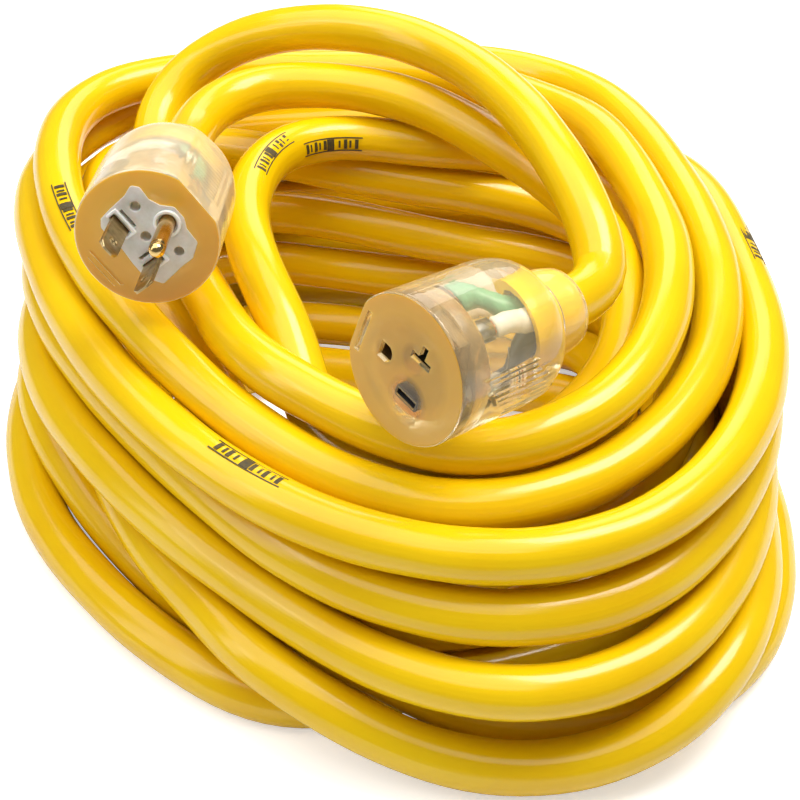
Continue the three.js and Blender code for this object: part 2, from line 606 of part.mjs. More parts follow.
// ------------------------------------------------------------- the connector
{
  const g = conn.group;
  const neutral = [-NEUTRAL_X, BLADES_Y];
  const hot = [-HOT_X, BLADES_Y];
  const ground = [0, GROUND_Y];
  const sw = BLADE_W / 2 + 0.45; // slot half length
  const st = BLADE_T / 2 + 0.35; // slot half width
  const dee = (d, z0, z1) => {
    const R = PIN_D / 2 + 0.5 + d;
    const p = [];
    for (let k = 0; k <= 8; k++) {
      const a = Math.PI + 0.35 + (k / 8) * (Math.PI - 0.7);
      p.push([R * Math.cos(a), ground[1] + R * Math.sin(a)]);
    }
    p.push([R * 0.94, ground[1] + R * 0.72], [-R * 0.94, ground[1] + R * 0.72]);
    return prism(p, z0, z1);
  };
  const openings = (d, z0, z1) =>
    block(
      hot[0] - st - d,
      hot[0] + st + d,
      hot[1] - sw - d,
      hot[1] + sw + d,
      z0,
      z1,
    )
      .add(
        block(
          neutral[0] - 1.2 - st - d,
          neutral[0] - 1.2 + st + d,
          neutral[1] - sw - d,
          neutral[1] + sw + d,
          z0,
          z1,
        ),
      )
      .add(
        block(
          neutral[0] - 1.2,
          neutral[0] + sw + d,
          neutral[1] - st - d,
          neutral[1] + st + d,
          z0,
          z1,
        ),
      )
      .add(dee(d, z0, z1));
  const FACE_T = 2.6; // clear skin in front of the carrier
  add(
    g,
    "connector_housing",
    geometryOf(
      barrel()
        .subtract(rod(CHAMBER_R + 2.2, -37, -FACE_T - GAP, 20))
        .subtract(rod(BORE_R, -END_LENGTH - 1, -36, 14))
        .subtract(openings(0, -5, 2))
        .subtract(
          // long recess near the rim, opposite the slots
          block(-7, 7, 16.1, 17.9, -1.2, 2),
        ),
    ),
    CLEAR(),
  );

  // contact sleeves, open at the front
  const sleeve = (x, y, hx, hy) =>
    block(x - hx, x + hx, y - hy, y + hy, -14, -4).subtract(
      block(x - hx + 0.5, x + hx - 0.5, y - hy + 0.5, y + hy - 0.5, -12.6, -3),
    );
  const pocket = (x, y, hx, hy) =>
    block(x - hx - GAP, x + hx + GAP, y - hy - GAP, y + hy + GAP, -14.3, -2);
  const hotS = [...hot, 1.9, 4.3];
  const neuS = [neutral[0] + 0.4, neutral[1], 4.3, 4.3];
  const carrier = rod(CHAMBER_R + 1.8, -14, -FACE_T - 2 * GAP, 20)
    .subtract(pocket(...hotS))
    .subtract(pocket(...neuS))
    .subtract(rod(2.8, -16, -12.6, 12, ...hot))
    .subtract(rod(2.8, -16, -12.6, 12, ...neutral))
    .subtract(rod(3.9 + GAP, -20, -1, 14, ...ground))
    .subtract(rod(2.5, -20, -1, 10, 0, -10.5)); // seat of the indicator lamp
  add(g, "connector_contact_carrier", geometryOf(carrier), CARRIER());
  add(
    g,
    "connector_contact_hot",
    geometryOf(sleeve(...hotS).add(crimp(...hot))),
    STEEL(),
  );
  add(
    g,
    "connector_contact_neutral",
    geometryOf(sleeve(...neuS).add(crimp(...neutral))),
    STEEL(),
  );
  add(
    g,
    "connector_contact_ground",
    geometryOf(
      rod(3.9, -14, -4, 14, ...ground)
        .subtract(rod(3.1, -12.6, -3, 12, ...ground))
        .add(crimp(...ground)),
    ),
    BRASS(),
  );
  for (const [name, at, deg, mat] of [
    ["hot", hot, 210, BLACK()],
    ["neutral", neutral, 330, WHITE()],
    ["ground", ground, 90, GREEN()],
  ]) {
    strands(g, `connector_strands_${name}`, ...at);
    lead(g, `connector_lead_${name}`, ...at, deg, mat);
  }
  jacketEnd(g, "connector_jacket_end");

  // neon indicator with its series resistor, between the hot and neutral leads
  add(
    g,
    "indicator_lamp",
    geometryOf(
      turned(
        [
          [0, -20.4],
          [2.1, -20.4],
          [2.1, -9.4],
          [1.5, -8.0],
          [0, -7.5],
        ],
        12,
      ).translate([0, -10.5, 0]),
    ),
    GLASS(),
  );
  add(
    g,
    "indicator_resistor",
    geometryOf(
      turned(
        [
          [0, -31.5],
          [1.0, -31.5],
          [1.25, -30.6],
          [1.0, -29.8],
          [1.0, -26.8],
          [1.25, -26.0],
          [1.0, -25.1],
          [0, -25.1],
        ],
        10,
      ).translate([-2.2, -10.4, 0]),
    ),
    TAN(),
  );
  const wire = (name, P) =>
    add(
      g,
      name,
      tube(
        rings(
          frames(
            P.map((p) => new THREE.Vector3(...p)),
            new THREE.Vector3(1, 0, 0),
          ),
          0.35,
          5,
          0,
        ),
      ),
      STEEL(),
    );
  wire("indicator_wire_a", [
    [-0.8, -10.5, -20.7],
    [-1.0, -10.5, -22],
    [-2.2, -10.4, -23.2],
    [-2.2, -10.4, -24.8],
  ]);
  wire("indicator_wire_b", [
    [0.8, -10.5, -20.7],
    [1.6, -10.4, -22.5],
    [4.2, -8.8, -24.4],
    [5.2, -7.6, -25.2],
  ]);
}

export default cord;
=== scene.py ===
import math

import bmesh
import bpy
import numpy as np
from mathutils import Matrix, Vector


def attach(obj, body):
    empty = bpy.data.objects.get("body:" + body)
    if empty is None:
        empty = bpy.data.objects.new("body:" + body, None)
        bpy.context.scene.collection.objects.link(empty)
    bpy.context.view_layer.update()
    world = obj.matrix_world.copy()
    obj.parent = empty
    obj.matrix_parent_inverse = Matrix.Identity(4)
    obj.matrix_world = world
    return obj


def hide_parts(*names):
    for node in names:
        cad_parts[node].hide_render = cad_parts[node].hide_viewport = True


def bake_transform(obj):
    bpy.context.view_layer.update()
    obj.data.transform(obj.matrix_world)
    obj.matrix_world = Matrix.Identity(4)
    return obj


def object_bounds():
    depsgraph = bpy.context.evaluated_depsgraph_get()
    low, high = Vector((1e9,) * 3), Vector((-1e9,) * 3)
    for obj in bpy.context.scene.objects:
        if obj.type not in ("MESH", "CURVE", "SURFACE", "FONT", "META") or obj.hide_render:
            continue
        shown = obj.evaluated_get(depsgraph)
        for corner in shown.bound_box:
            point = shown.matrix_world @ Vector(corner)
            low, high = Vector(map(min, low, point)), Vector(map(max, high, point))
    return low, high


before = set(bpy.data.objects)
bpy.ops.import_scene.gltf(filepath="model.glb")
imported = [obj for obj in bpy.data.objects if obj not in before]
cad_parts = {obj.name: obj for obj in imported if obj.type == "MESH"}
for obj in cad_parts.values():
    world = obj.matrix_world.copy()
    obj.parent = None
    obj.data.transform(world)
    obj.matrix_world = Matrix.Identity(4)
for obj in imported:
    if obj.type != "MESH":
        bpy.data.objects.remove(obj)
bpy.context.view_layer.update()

scene = bpy.context.scene

# ------------------------------------------------------------------ dimensions
CORD_R = 8.0
BORE_R = 5.9
CORE_R = 2.25
CORE_PITCH_R = 2.9
BARREL_R = 21.5
END_LENGTH = 62.0
FLEX_AT = 68.0
FLEX_REACH = 18.0
CARRIER_T = 7.0
BLADE_W, BLADE_T, BLADE_OUT = 6.35, 1.5, 18.2
PIN_D, PIN_OUT = 4.75, 20.6
HOT_X, NEUTRAL_X, BLADES_Y, GROUND_Y = 6.9, -7.9, -3.7, 8.0
TAIL_Z = -13.0

PLUG_FACE = (-68.558, -36.762, 117.696)
PLUG_AXIS = (-0.040004, -0.984108, 0.173004)
PLUG_UP = (0.793014, 0.074067, 0.604684)
CONNECTOR_FACE = (6.283, -97.170, 116.696)
CONNECTOR_AXIS = (-0.710047, -0.680851, 0.179654)
CONNECTOR_UP = (-0.643974, 0.731076, 0.225446)

# Centre line of the coiled cord, from the plug's flexing point to the connector's, tenths of a millimetre.
LINE = [
    -657,326,1055, -645,465,1036, -605,599,1032, -521,710,1033, -398,776,1034, -259,791,1034, -121,768,1035, 11,721,1035,
    135,656,1029, 250,577,1014, 358,490,994, 462,398,970, 561,303,941, 650,201,906, 719,86,866, 759,-43,826,
    767,-179,793, 746,-314,764, 697,-443,739, 623,-560,721, 528,-662,708, 415,-745,698, 286,-800,688, 149,-823,678,
    10,-806,670, -114,-741,672, -196,-633,701, -240,-509,750, -281,-389,810, -333,-269,862, -385,-144,895, -426,-11,911,
    -448,128,917, -449,268,917, -427,406,914, -372,535,908, -273,633,898, -141,678,887, -2,680,876, 138,670,865,
    277,675,850, 414,694,825, 550,698,793, 680,656,764, 782,562,754, 844,437,750, 872,299,742, 878,160,725,
    866,24,696, 841,-109,657, 801,-237,618, 744,-362,588, 671,-480,567, 586,-590,551, 489,-691,539, 381,-779,530,
    260,-850,525, 127,-894,528, -12,-903,539, -148,-870,549, -267,-798,556, -360,-693,563, -427,-570,571, -483,-442,583,
    -540,-315,597, -607,-192,614, -682,-76,635, -760,39,658, -834,155,683, -900,277,707, -953,405,727, -990,540,736,
    -995,680,729, -949,810,710, -838,891,698, -700,893,714, -566,854,732, -435,804,741, -302,760,739, -167,725,728,
    -30,696,714, 107,671,702, 245,651,690, 384,635,672, 520,617,647, 652,579,617, 769,505,594, 857,398,582,
    913,270,574, 945,133,566, 960,-6,555, 961,-145,537, 946,-282,514, 911,-416,490, 851,-540,467, 767,-651,447,
    665,-745,428, 550,-824,410, 426,-887,396, 295,-936,386, 159,-969,383, 19,-978,388, -119,-956,397, -248,-900,402,
    -363,-820,402, -468,-728,402, -569,-630,404, -662,-525,406, -741,-409,408, -802,-284,418, -846,-152,438, -872,-16,462,
    -881,122,485, -873,260,504, -846,397,519, -793,527,529, -708,638,535, -592,715,536, -455,747,533, -316,742,527,
    -178,714,521, -43,678,513, 92,641,504, 229,610,493, 367,588,480, 505,570,463, 640,540,445, 766,481,428,
    869,387,416, 941,267,411, 985,134,406, 1009,-4,397, 1016,-143,380, 1005,-280,356, 975,-415,331, 923,-543,307,
    849,-660,286, 754,-762,267, 645,-848,251, 524,-919,239, 395,-972,231, 258,-1004,226, 118,-1011,223, -19,-986,226,
    -150,-936,235, -280,-882,238, -405,-819,237, -509,-726,237, -592,-613,240, -663,-492,241, -725,-366,237, -779,-236,236,
    -823,-104,244, -856,32,262, -874,169,284, -871,307,307, -841,443,323, -774,566,332, -671,659,334, -540,708,332,
    -400,712,329, -261,691,325, -123,664,322, 15,644,316, 155,636,309, 295,632,300, 435,623,290, 572,595,279,
    700,540,267, 809,452,257, 889,338,249, 938,207,246, 957,68,243, 954,-72,236, 936,-210,219, 903,-345,199,
    851,-473,177, 780,-592,153, 690,-696,128, 581,-781,105, 457,-845,88, 325,-890,79, 187,-916,77, 47,-920,77,
    -92,-902,77, -226,-861,77, -350,-796,77, -461,-710,77, -564,-615,77, -660,-513,77, -747,-402,77, -813,-279,78,
    -855,-145,81, -873,-6,85, -867,134,93, -836,270,102, -776,396,114, -682,499,124, -560,567,131, -423,597,133,
    -283,600,130, -143,589,124, -4,576,116, 136,563,107, 275,547,101, 413,521,105, 542,474,127, 652,397,170,
    730,292,218, 776,162,240, 798,28,204, 806,-101,151, 795,-234,107, 754,-365,83, 680,-484,77, 581,-583,77,
    464,-660,77, 335,-715,77, 199,-748,77, 59,-756,77, -80,-736,77, -211,-685,77, -327,-608,77, -432,-514,77,
    -529,-413,77, -613,-300,77, -674,-174,77, -705,-38,77, -702,102,77, -655,234,77, -561,337,77, -432,390,77,
    -292,396,77, -153,377,77, -16,350,77, 122,324,77, 261,301,77, 400,280,77, 538,256,77, 673,220,77,
    801,163,77, 910,74,77, 985,-43,77, 1019,-179,77, 1018,-319,77, 993,-457,77, 946,-589,77, 877,-712,77,
    787,-820,77, 680,-910,77, 559,-980,77, 428,-1031,77, 293,-1068,77, 156,-1100,77, 20,-1135,77, -116,-1170,77,
    -255,-1180,77, -391,-1146,77, -514,-1080,77, -627,-996,77, -733,-904,77, -832,-805,77, -924,-699,77, -1010,-588,77,
    -1087,-471,77, -1151,-346,77, -1200,-215,77, -1237,-79,77, -1262,59,77, -1272,198,77, -1262,338,77, -1224,473,77,
    -1156,596,78, -1062,700,81, -947,780,84, -819,836,86, -682,869,87, -543,886,88, -403,892,88, -263,894,87,
    -122,893,87, 18,889,86, 158,881,85, 297,865,84, 435,839,82, 570,800,80, 699,746,78, 821,676,77,
    930,589,77, 1025,485,77, 1102,368,77, 1161,241,77, 1205,108,77, 1237,-29,77, 1258,-168,77, 1268,-308,77,
    1267,-448,77, 1254,-587,77, 1227,-725,77, 1183,-858,77, 1116,-981,77, 1023,-1086,77, 908,-1166,77, 778,-1219,77,
    641,-1251,77, 502,-1267,79, 363,-1269,95, 229,-1258,136, 102,-1236,191, -23,-1190,233, -147,-1125,233, -261,-1058,188,
    -372,-987,139, -481,-905,109, -589,-815,100, -690,-718,103, -785,-615,111, -873,-507,124, -957,-397,146, -1035,-284,176,
    -1107,-167,205, -1167,-42,223, -1206,93,232, -1219,232,234, -1205,372,234, -1167,506,237, -1104,631,243, -1014,739,247,
    -901,822,251, -773,878,254, -637,911,257, -497,927,261, -357,932,263, -217,934,264, -77,932,262, 64,928,260,
    204,918,257, 343,900,254, 480,870,251, 612,825,248, 738,762,246, 850,678,244, 945,575,242, 1019,456,240,
    1073,327,235, 1112,192,229, 1141,55,225, 1162,-84,222, 1177,-223,221, 1185,-363,221, 1186,-504,223, 1176,-644,227,
    1156,-782,233, 1121,-918,239, 1071,-1049,241, 1002,-1171,232, 913,-1275,207, 803,-1354,168, 678,-1403,128, 543,-1427,99,
    404,-1434,88, 264,-1426,97, 128,-1404,122, -3,-1368,158, -128,-1319,198, -248,-1256,233, -359,-1173,254, -453,-1069,258,
    -538,-957,256, -624,-846,259, -707,-734,266, -779,-614,275, -841,-488,285, -895,-359,295, -942,-227,305, -981,-93,318,
    -1009,43,337, -1024,181,357, -1021,320,374, -997,458,385, -948,589,392, -871,706,398, -773,805,407, -657,884,419,
    -528,936,430, -391,964,438, -251,975,440, -111,977,439, 30,973,435, 170,965,429, 309,950,423, 447,927,417,
    583,891,412, 713,839,408, 834,769,403, 941,678,399, 1027,567,395, 1090,442,393, 1131,308,391, 1156,170,389,
    1172,30,387, 1181,-110,386, 1183,-250,385, 1178,-390,386, 1163,-530,387, 1136,-667,388, 1094,-801,389, 1037,-929,387,
    967,-1051,384, 882,-1162,382, 781,-1259,381, 664,-1337,382, 534,-1388,383, 395,-1408,384, 255,-1396,385, 121,-1357,386,
    -6,-1297,386, -125,-1223,388, -238,-1139,392, -346,-1051,398, -453,-960,407, -558,-868,417, -659,-771,427, -755,-669,436,
    -845,-562,442, -929,-449,441, -1005,-331,435, -1071,-208,425, -1126,-80,414, -1169,54,404, -1199,191,399, -1207,330,398,
    -1188,469,401, -1138,600,411, -1064,717,435, -972,816,470, -864,895,511, -740,949,549, -607,982,576, -468,998,593,
    -328,1004,602, -188,1006,607, -48,1005,610, 92,1002,612, 232,993,611, 372,975,608, 509,946,602, 641,902,593,
    768,843,581, 886,767,569, 990,674,560, 1073,561,555, 1131,434,553, 1166,298,552, 1185,159,551, 1195,19,550,
    1199,-121,549, 1194,-262,550, 1178,-401,551, 1147,-538,551, 1100,-670,549, 1039,-796,545, 966,-916,539, 879,-1025,535,
    776,-1121,535, 659,-1198,536, 529,-1250,539, 391,-1273,541, 251,-1269,543, 114,-1239,545, -17,-1188,547, -139,-1120,549,
    -253,-1037,550, -358,-945,552, -457,-846,554, -552,-742,557, -643,-635,560, -731,-526,561, -815,-413,560, -895,-298,558,
    -970,-180,555, -1040,-58,554, -1102,68,555, -1153,198,557, -1187,334,561, -1198,474,565, -1183,613,569, -1141,747,577,
    -1073,869,589, -980,973,603, -866,1053,615, -737,1108,625, -601,1141,633, -462,1157,640, -322,1163,647, -182,1163,656,
    -42,1160,666, 98,1153,676, 237,1141,684, 376,1122,687, 514,1094,682, 648,1056,672, 778,1003,661, 897,929,662,
    996,832,679, 1069,714,699, 1115,582,712, 1144,445,717, 1165,306,717, 1183,167,715, 1197,28,714, 1202,-112,714,
    1195,-253,715, 1174,-391,716, 1137,-527,717, 1086,-657,717, 1021,-781,717, 941,-897,717, 847,-1000,717, 738,-1088,717,
    614,-1155,717, 481,-1198,717, 342,-1214,717, 202,-1206,717, 65,-1176,717, -67,-1128,716, -192,-1065,716, -310,-989,716,
    -421,-902,717, -524,-808,719, -621,-707,720, -712,-600,722, -797,-488,723, -873,-370,722, -943,-248,721, -1006,-123,719,
    -1064,5,718, -1117,135,720, -1163,267,723, -1200,402,727, -1221,541,729, -1221,681,728, -1198,819,723, -1147,950,717,
    -1072,1068,713, -979,1173,714, -869,1260,723, -746,1325,737, -614,1369,752, -477,1398,763, -338,1414,770, -198,1424,774,
    -58,1429,776, 83,1430,776, 223,1423,775, 361,1403,775, 495,1360,776, 616,1289,783, 716,1193,797, 796,1078,813,
    859,954,824, 912,824,823, 956,690,819, 992,555,819, 1021,418,823, 1044,279,825, 1059,140,822, 1066,0,813,
    1061,-139,799, 1039,-277,785, 1000,-411,772, 942,-539,760, 869,-658,750, 781,-766,740, 677,-860,731, 559,-936,723,
    429,-987,716, 291,-1012,713, 151,-1007,715, 15,-975,723, -114,-921,732, -232,-845,741, -341,-758,751, -444,-663,763,
    -542,-564,778, -635,-460,796, -723,-352,814, -805,-240,829, -881,-123,840, -950,-1,848, -1011,126,853, -1063,256,859,
    -1104,390,864, -1133,527,870, -1146,666,874, -1136,806,875, -1092,939,872, -1011,1053,867, -900,1137,860, -771,1192,852,
    -635,1225,844, -496,1243,838, -356,1251,836, -215,1252,837, -75,1245,840, 64,1226,843, 199,1190,847, 327,1134,852,
    444,1057,859, 547,962,872, 636,855,891, 709,737,910, 768,610,919, 813,478,917, 848,342,914, 875,204,913,
    892,65,915, 897,-75,915, 885,-215,912, 857,-352,904, 812,-485,894, 749,-609,883, 665,-721,871, 558,-811,858,
    433,-872,844, 296,-897,832, 157,-885,831, 24,-839,838, -99,-773,848, -214,-693,858, -319,-600,861, -405,-490,852,
    -470,-367,833, -522,-238,814, -572,-108,797, -622,22,780, -672,152,764, -719,283,749, -762,417,743, -799,551,754,
    -824,684,790, -827,815,840, -792,939,894, -704,1019,967, -588,1036,1042, -465,1013,1105, -339,975,1152, -209,931,1184,
    -79,880,1201, 45,816,1209, 158,733,1210, 256,633,1210, 339,519,1208, 408,398,1206, 468,271,1200, 519,141,1188,
    567,11,1166, 610,-118,1132, 643,-247,1086, 640,-380,1043, 562,-492,1042,
]

# Printed marks: distance along the centre line and direction out of the surface.
MARKS = [
    (8309.4, -0.047, -0.067, 0.997),
    (512.1, 0.461, -0.120, 0.879),
    (543.1, 0.341, -0.908, 0.243),
    (7429.2, 0.098, 0.108, 0.989),
    (7163.2, 0.539, 0.055, 0.841),
]


# --------------------------------------------------------------------- helpers
class End:
    def __init__(self, face, axis, up):
        self.o = np.array(face, float)
        self.z = np.array(axis, float)
        self.z /= np.linalg.norm(self.z)
        u = np.array(up, float)
        u -= (u @ self.z) * self.z
        self.y = u / np.linalg.norm(u)
        self.x = np.cross(self.y, self.z)

    def world(self, p):
        p = np.asarray(p, float).reshape(-1, 3)
        return (self.o + p[:, :1] * self.x + p[:, 1:2] * self.y + p[:, 2:3] * self.z) / 1000

    def at(self, x, y, z):
        return Vector(self.world([[x, y, z]])[0])


PLUG = End(PLUG_FACE, PLUG_AXIS, PLUG_UP)
CONN = End(CONNECTOR_FACE, CONNECTOR_AXIS, CONNECTOR_UP)


def mesh_object(name, verts, faces, mats, sharp_deg=None, face_mat=None, uv=None):
    me = bpy.data.meshes.new(name)
    me.from_pydata([tuple(v) for v in verts], [], [tuple(int(i) for i in f) for f in faces])
    me.validate()
    for m in mats if isinstance(mats, (list, tuple)) else [mats]:
        me.materials.append(m)
    if face_mat is not None:
        me.polygons.foreach_set("material_index", np.asarray(face_mat, np.int32))
    me.polygons.foreach_set("use_smooth", np.ones(len(me.polygons), bool))
    if sharp_deg is not None:
        me.set_sharp_from_angle(angle=math.radians(sharp_deg))
    if uv is not None:
        layer = me.uv_layers.new(name="along")
        loops = np.zeros(len(me.loops), np.int32)
        me.loops.foreach_get("vertex_index", loops)
        layer.data.foreach_set("uv", np.asarray(uv, np.float32)[loops].ravel())
    me.update()
    ob = bpy.data.objects.new(name, me)
    scene.collection.objects.link(ob)
    return ob


def join(parts):
    """Several (verts, faces) into one."""
    V, F, n = [], [], 0
    for v, f in parts:
        v = np.asarray(v, float)
        V.append(v)
        F += [tuple(i + n for i in face) for face in f]
        n += len(v)
    return np.vstack(V), F


def spline(points):
    """Natural cubic spline by arc length; returns f(s) -> positions, and the length."""
    P = np.asarray(points, float)
    s = np.r_[0, np.cumsum(np.linalg.norm(np.diff(P, axis=0), axis=1))]
    n = len(P)
    h = np.diff(s)
    A = np.zeros((n, n))
    R = np.zeros((n, P.shape[1]))
    A[0, 0] = A[-1, -1] = 1
    for i in range(1, n - 1):
        A[i, i - 1], A[i, i], A[i, i + 1] = h[i - 1], 2 * (h[i - 1] + h[i]), h[i]
        R[i] = 6 * ((P[i + 1] - P[i]) / h[i] - (P[i] - P[i - 1]) / h[i - 1])
    M = np.linalg.solve(A, R)

    def f(t):
        t = np.atleast_1d(np.asarray(t, float))
        i = np.clip(np.searchsorted(s, t, side="right") - 1, 0, n - 2)
        a = (s[i + 1] - t)[:, None]
        b = (t - s[i])[:, None]
        hh = h[i][:, None]
        return (
            M[i] * a**3 / (6 * hh)
            + M[i + 1] * b**3 / (6 * hh)
            + (P[i] / hh - M[i] * hh / 6) * a
            + (P[i + 1] / hh - M[i + 1] * hh / 6) * b
        )

    return f, s[-1]


def transport(C, first=None):
    """Untwisted frames along a centre line."""
    T = np.gradient(C, axis=0)
    T /= np.linalg.norm(T, axis=1)[:, None]
    a = np.array(first, float) if first is not None else np.array([0.0, 0, 1])
    if abs(a @ T[0]) > 0.95:
        a = np.array([1.0, 0, 0])
    A = np.zeros_like(C)
    for i in range(len(C)):
        a = a - (a @ T[i]) * T[i]
        a /= np.linalg.norm(a)
        A[i] = a
    return T, A, np.cross(T, A)


def ring_grid(C, A, B, radius, sides, phase=0.0):
    """Rings around a centre line; radius is a number or a function of (index, angle)."""
    t = phase + np.arange(sides) / sides * 2 * np.pi
    if callable(radius):
        r = radius(np.arange(len(C))[:, None], t[None, :])
    else:
        r = np.broadcast_to(np.asarray(radius, float).reshape(-1, 1), (len(C), sides))
    return (
        C[:, None, :]
        + (r * np.cos(t))[..., None] * A[:, None, :]
        + (r * np.sin(t))[..., None] * B[:, None, :]
    )


def wall(n, sides, base=0, flip=False):
    faces = []
    for i in range(n - 1):
        for k in range(sides):
            l = (k + 1) % sides
            q = (
                base + i * sides + k,
                base + i * sides + l,
                base + (i + 1) * sides + l,
                base + (i + 1) * sides + k,
            )
            faces.append(q[::-1] if flip else q)
    return faces


def closed_tube(rings, inner=None):
    """Closed tube from outer rings; with inner rings (half as many sides) it is hollow."""
    n, sides = rings.shape[:2]
    V = rings.reshape(-1, 3)
    F = wall(n, sides)
    if inner is None:
        V = np.vstack([V, rings[0].mean(0), rings[-1].mean(0)])
        a, b = n * sides, n * sides + 1
        for k in range(sides):
            l = (k + 1) % sides
            F.append((a, l, k))
            F.append((b, (n - 1) * sides + k, (n - 1) * sides + l))
        return V, F
    m = inner.shape[1]
    base = n * sides
    V = np.vstack([V, inner.reshape(-1, 3)])
    F += wall(n, m, base, flip=True)
    step = sides // m
    for end in (0, n - 1):
        for k in range(m):
            o = [end * sides + (k * step + j) % sides for j in range(step + 1)]
            i0 = base + end * m + k
            i1 = base + end * m + (k + 1) % m
            face = o + [i1, i0]
            F.append(tuple(face[::-1]) if end == 0 else tuple(face))
    return V, F


def rounded(points, r, n=5):
    """2-D outline with its corners rounded; r is one radius or one per corner."""
    out = []
    P = [np.array(p, float) for p in points]
    m = len(P)
    for i, p in enumerate(P):
        ri = r[i] if isinstance(r, (list, tuple)) else r
        a, b = P[i - 1] - p, P[(i + 1) % m] - p
        la, lb = np.linalg.norm(a), np.linalg.norm(b)
        a, b = a / la, b / lb
        c = float(np.clip(a @ b, -1, 1))
        ang = math.acos(c)
        if ri <= 0 or ang > math.pi - 0.05:
            out.append(p)
            continue
        d = min(ri / math.tan(ang / 2), la * 0.48, lb * 0.48)
        rr = d * math.tan(ang / 2)
        mid = (a + b) / np.linalg.norm(a + b)
        centre = p + mid * (rr / math.sin(ang / 2))
        s0, s1 = p + a * d - centre, p + b * d - centre
        t0 = math.atan2(s0[1], s0[0])
        t1 = math.atan2(s1[1], s1[0])
        dt = (t1 - t0 + math.pi) % (2 * math.pi) - math.pi
        for k in range(n + 1):
            t = t0 + dt * k / n
            out.append(centre + rr * np.array([math.cos(t), math.sin(t)]))
    return [tuple(q) for q in out]


def rect(x, y, hx, hy, r=0.0, n=4):
    p = [(x - hx, y - hy), (x + hx, y - hy), (x + hx, y + hy), (x - hx, y + hy)]
    return rounded(p, r, n) if r > 0 else p


def circle(x, y, r, n=28):
    return [(x + r * math.cos(2 * math.pi * k / n), y + r * math.sin(2 * math.pi * k / n)) for k in range(n)]


def plate(outer, holes, z0, z1, bevel=0.0, res=2):
    """Plate with holes and rounded edges, local millimetres; returns (verts, faces)."""
    cu = bpy.data.curves.new("tmp", "CURVE")
    cu.dimensions = "2D"
    cu.fill_mode = "BOTH"
    for loop in [outer] + list(holes):
        sp = cu.splines.new("POLY")
        sp.points.add(len(loop) - 1)
        sp.points.foreach_set("co", np.array([[x, y, 0, 1] for x, y in loop], float).ravel())
        sp.use_cyclic_u = True
    cu.extrude = (z1 - z0) / 2 - bevel
    cu.bevel_depth = bevel
    cu.bevel_resolution = res
    cu.offset = -bevel
    ob = bpy.data.objects.new("tmp", cu)
    scene.collection.objects.link(ob)
    bpy.context.view_layer.update()
    me = bpy.data.meshes.new_from_object(ob.evaluated_get(bpy.context.evaluated_depsgraph_get()))
    bm = bmesh.new()
    bm.from_mesh(me)
    bmesh.ops.remove_doubles(bm, verts=bm.verts, dist=1e-4)
    bmesh.ops.dissolve_degenerate(bm, edges=bm.edges, dist=1e-5)
    bmesh.ops.recalc_face_normals(bm, faces=bm.faces)
    V = np.array([v.co[:] for v in bm.verts])
    F = [tuple(v.index for v in f.verts) for f in bm.faces]
    bm.free()
    bpy.data.objects.remove(ob)
    bpy.data.curves.remove(cu)
    bpy.data.meshes.remove(me)
    V[:, 2] += (z0 + z1) / 2
    return V, F


def lathe(profile, sides, x=0.0, y=0.0, phase=0.0):
    """Closed turned body; the profile starts and ends on the axis, from the rear to the front."""
    prof = np.asarray(profile, float)
    body = prof[1:-1]
    t = phase + np.arange(sides) / sides * 2 * np.pi
    V = np.stack(
        [
            x + body[:, :1] * np.cos(t),
            y + body[:, :1] * np.sin(t),
            np.broadcast_to(body[:, 1:2], (len(body), sides)),
        ],
        -1,
    ).reshape(-1, 3)
    V = np.vstack([V, [x, y, prof[0, 1]], [x, y, prof[-1, 1]]])
    n = len(body)
    F = wall(n, sides)
    a, b = n * sides, n * sides + 1
    for k in range(sides):
        l = (k + 1) % sides
        F.append((a, l, k))
        F.append((b, (n - 1) * sides + k, (n - 1) * sides + l))
    return V, F


def arc(cx, cz, r, a0, a1, n):
    return [
        (cx + r * math.cos(math.radians(a0 + (a1 - a0) * k / n)), cz + r * math.sin(math.radians(a0 + (a1 - a0) * k / n)))
        for k in range(n + 1)
    ]


def pipe(points, r, sides=12, step=0.5, first=None):
    """Round wire or lead through local points, with slightly rounded ends."""
    f, L = spline(points) if len(points) > 2 else (None, 0)
    if f is None:
        P0, P1 = map(np.array, points)
        L = float(np.linalg.norm(P1 - P0))
        f = lambda s: P0 + (P1 - P0) * (np.atleast_1d(s) / L)[:, None]
    s = np.r_[0, r * 0.12, r * 0.35, np.linspace(r * 0.6, L - r * 0.6, max(3, int(L / step))), L - r * 0.35, L - r * 0.12, L]
    C = f(s)
    C[0] = f([0])[0]
    rad = np.full(len(s), r)
    rad[0] = rad[-1] = r * 0.72
    rad[1] = rad[-2] = r * 0.9
    T, A, B = transport(f(np.clip(s, 0, L)) + 0, first)
    return closed_tube(ring_grid(C, A, B, rad, sides))


def boolean_difference(ob, cutter, solver="EXACT"):
    m = ob.modifiers.new("cut", "BOOLEAN")
    m.operation = "DIFFERENCE"
    m.solver = solver
    m.object = cutter
    bpy.context.view_layer.update()
    me = bpy.data.meshes.new_from_object(ob.evaluated_get(bpy.context.evaluated_depsgraph_get()))
    ob.modifiers.clear()
    old = ob.data
    ob.data = me
    bpy.data.meshes.remove(old)
    bpy.data.objects.remove(cutter)
    return ob


def put(end, name, vf, mats, body, cad_nodes=(), slot=None, sharp=32, face_mat=None, uv=None):
    V, F = vf
    ob = mesh_object(name, end.world(V), F, mats, sharp, face_mat, uv)
    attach(ob, body)
    if cad_nodes:
        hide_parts(*cad_nodes)
    return ob


# ------------------------------------------------------------------- materials
def material(name):
    m = bpy.data.materials.new(name)
    m.use_nodes = True
    m.node_tree.nodes.clear()
    return m, m.node_tree


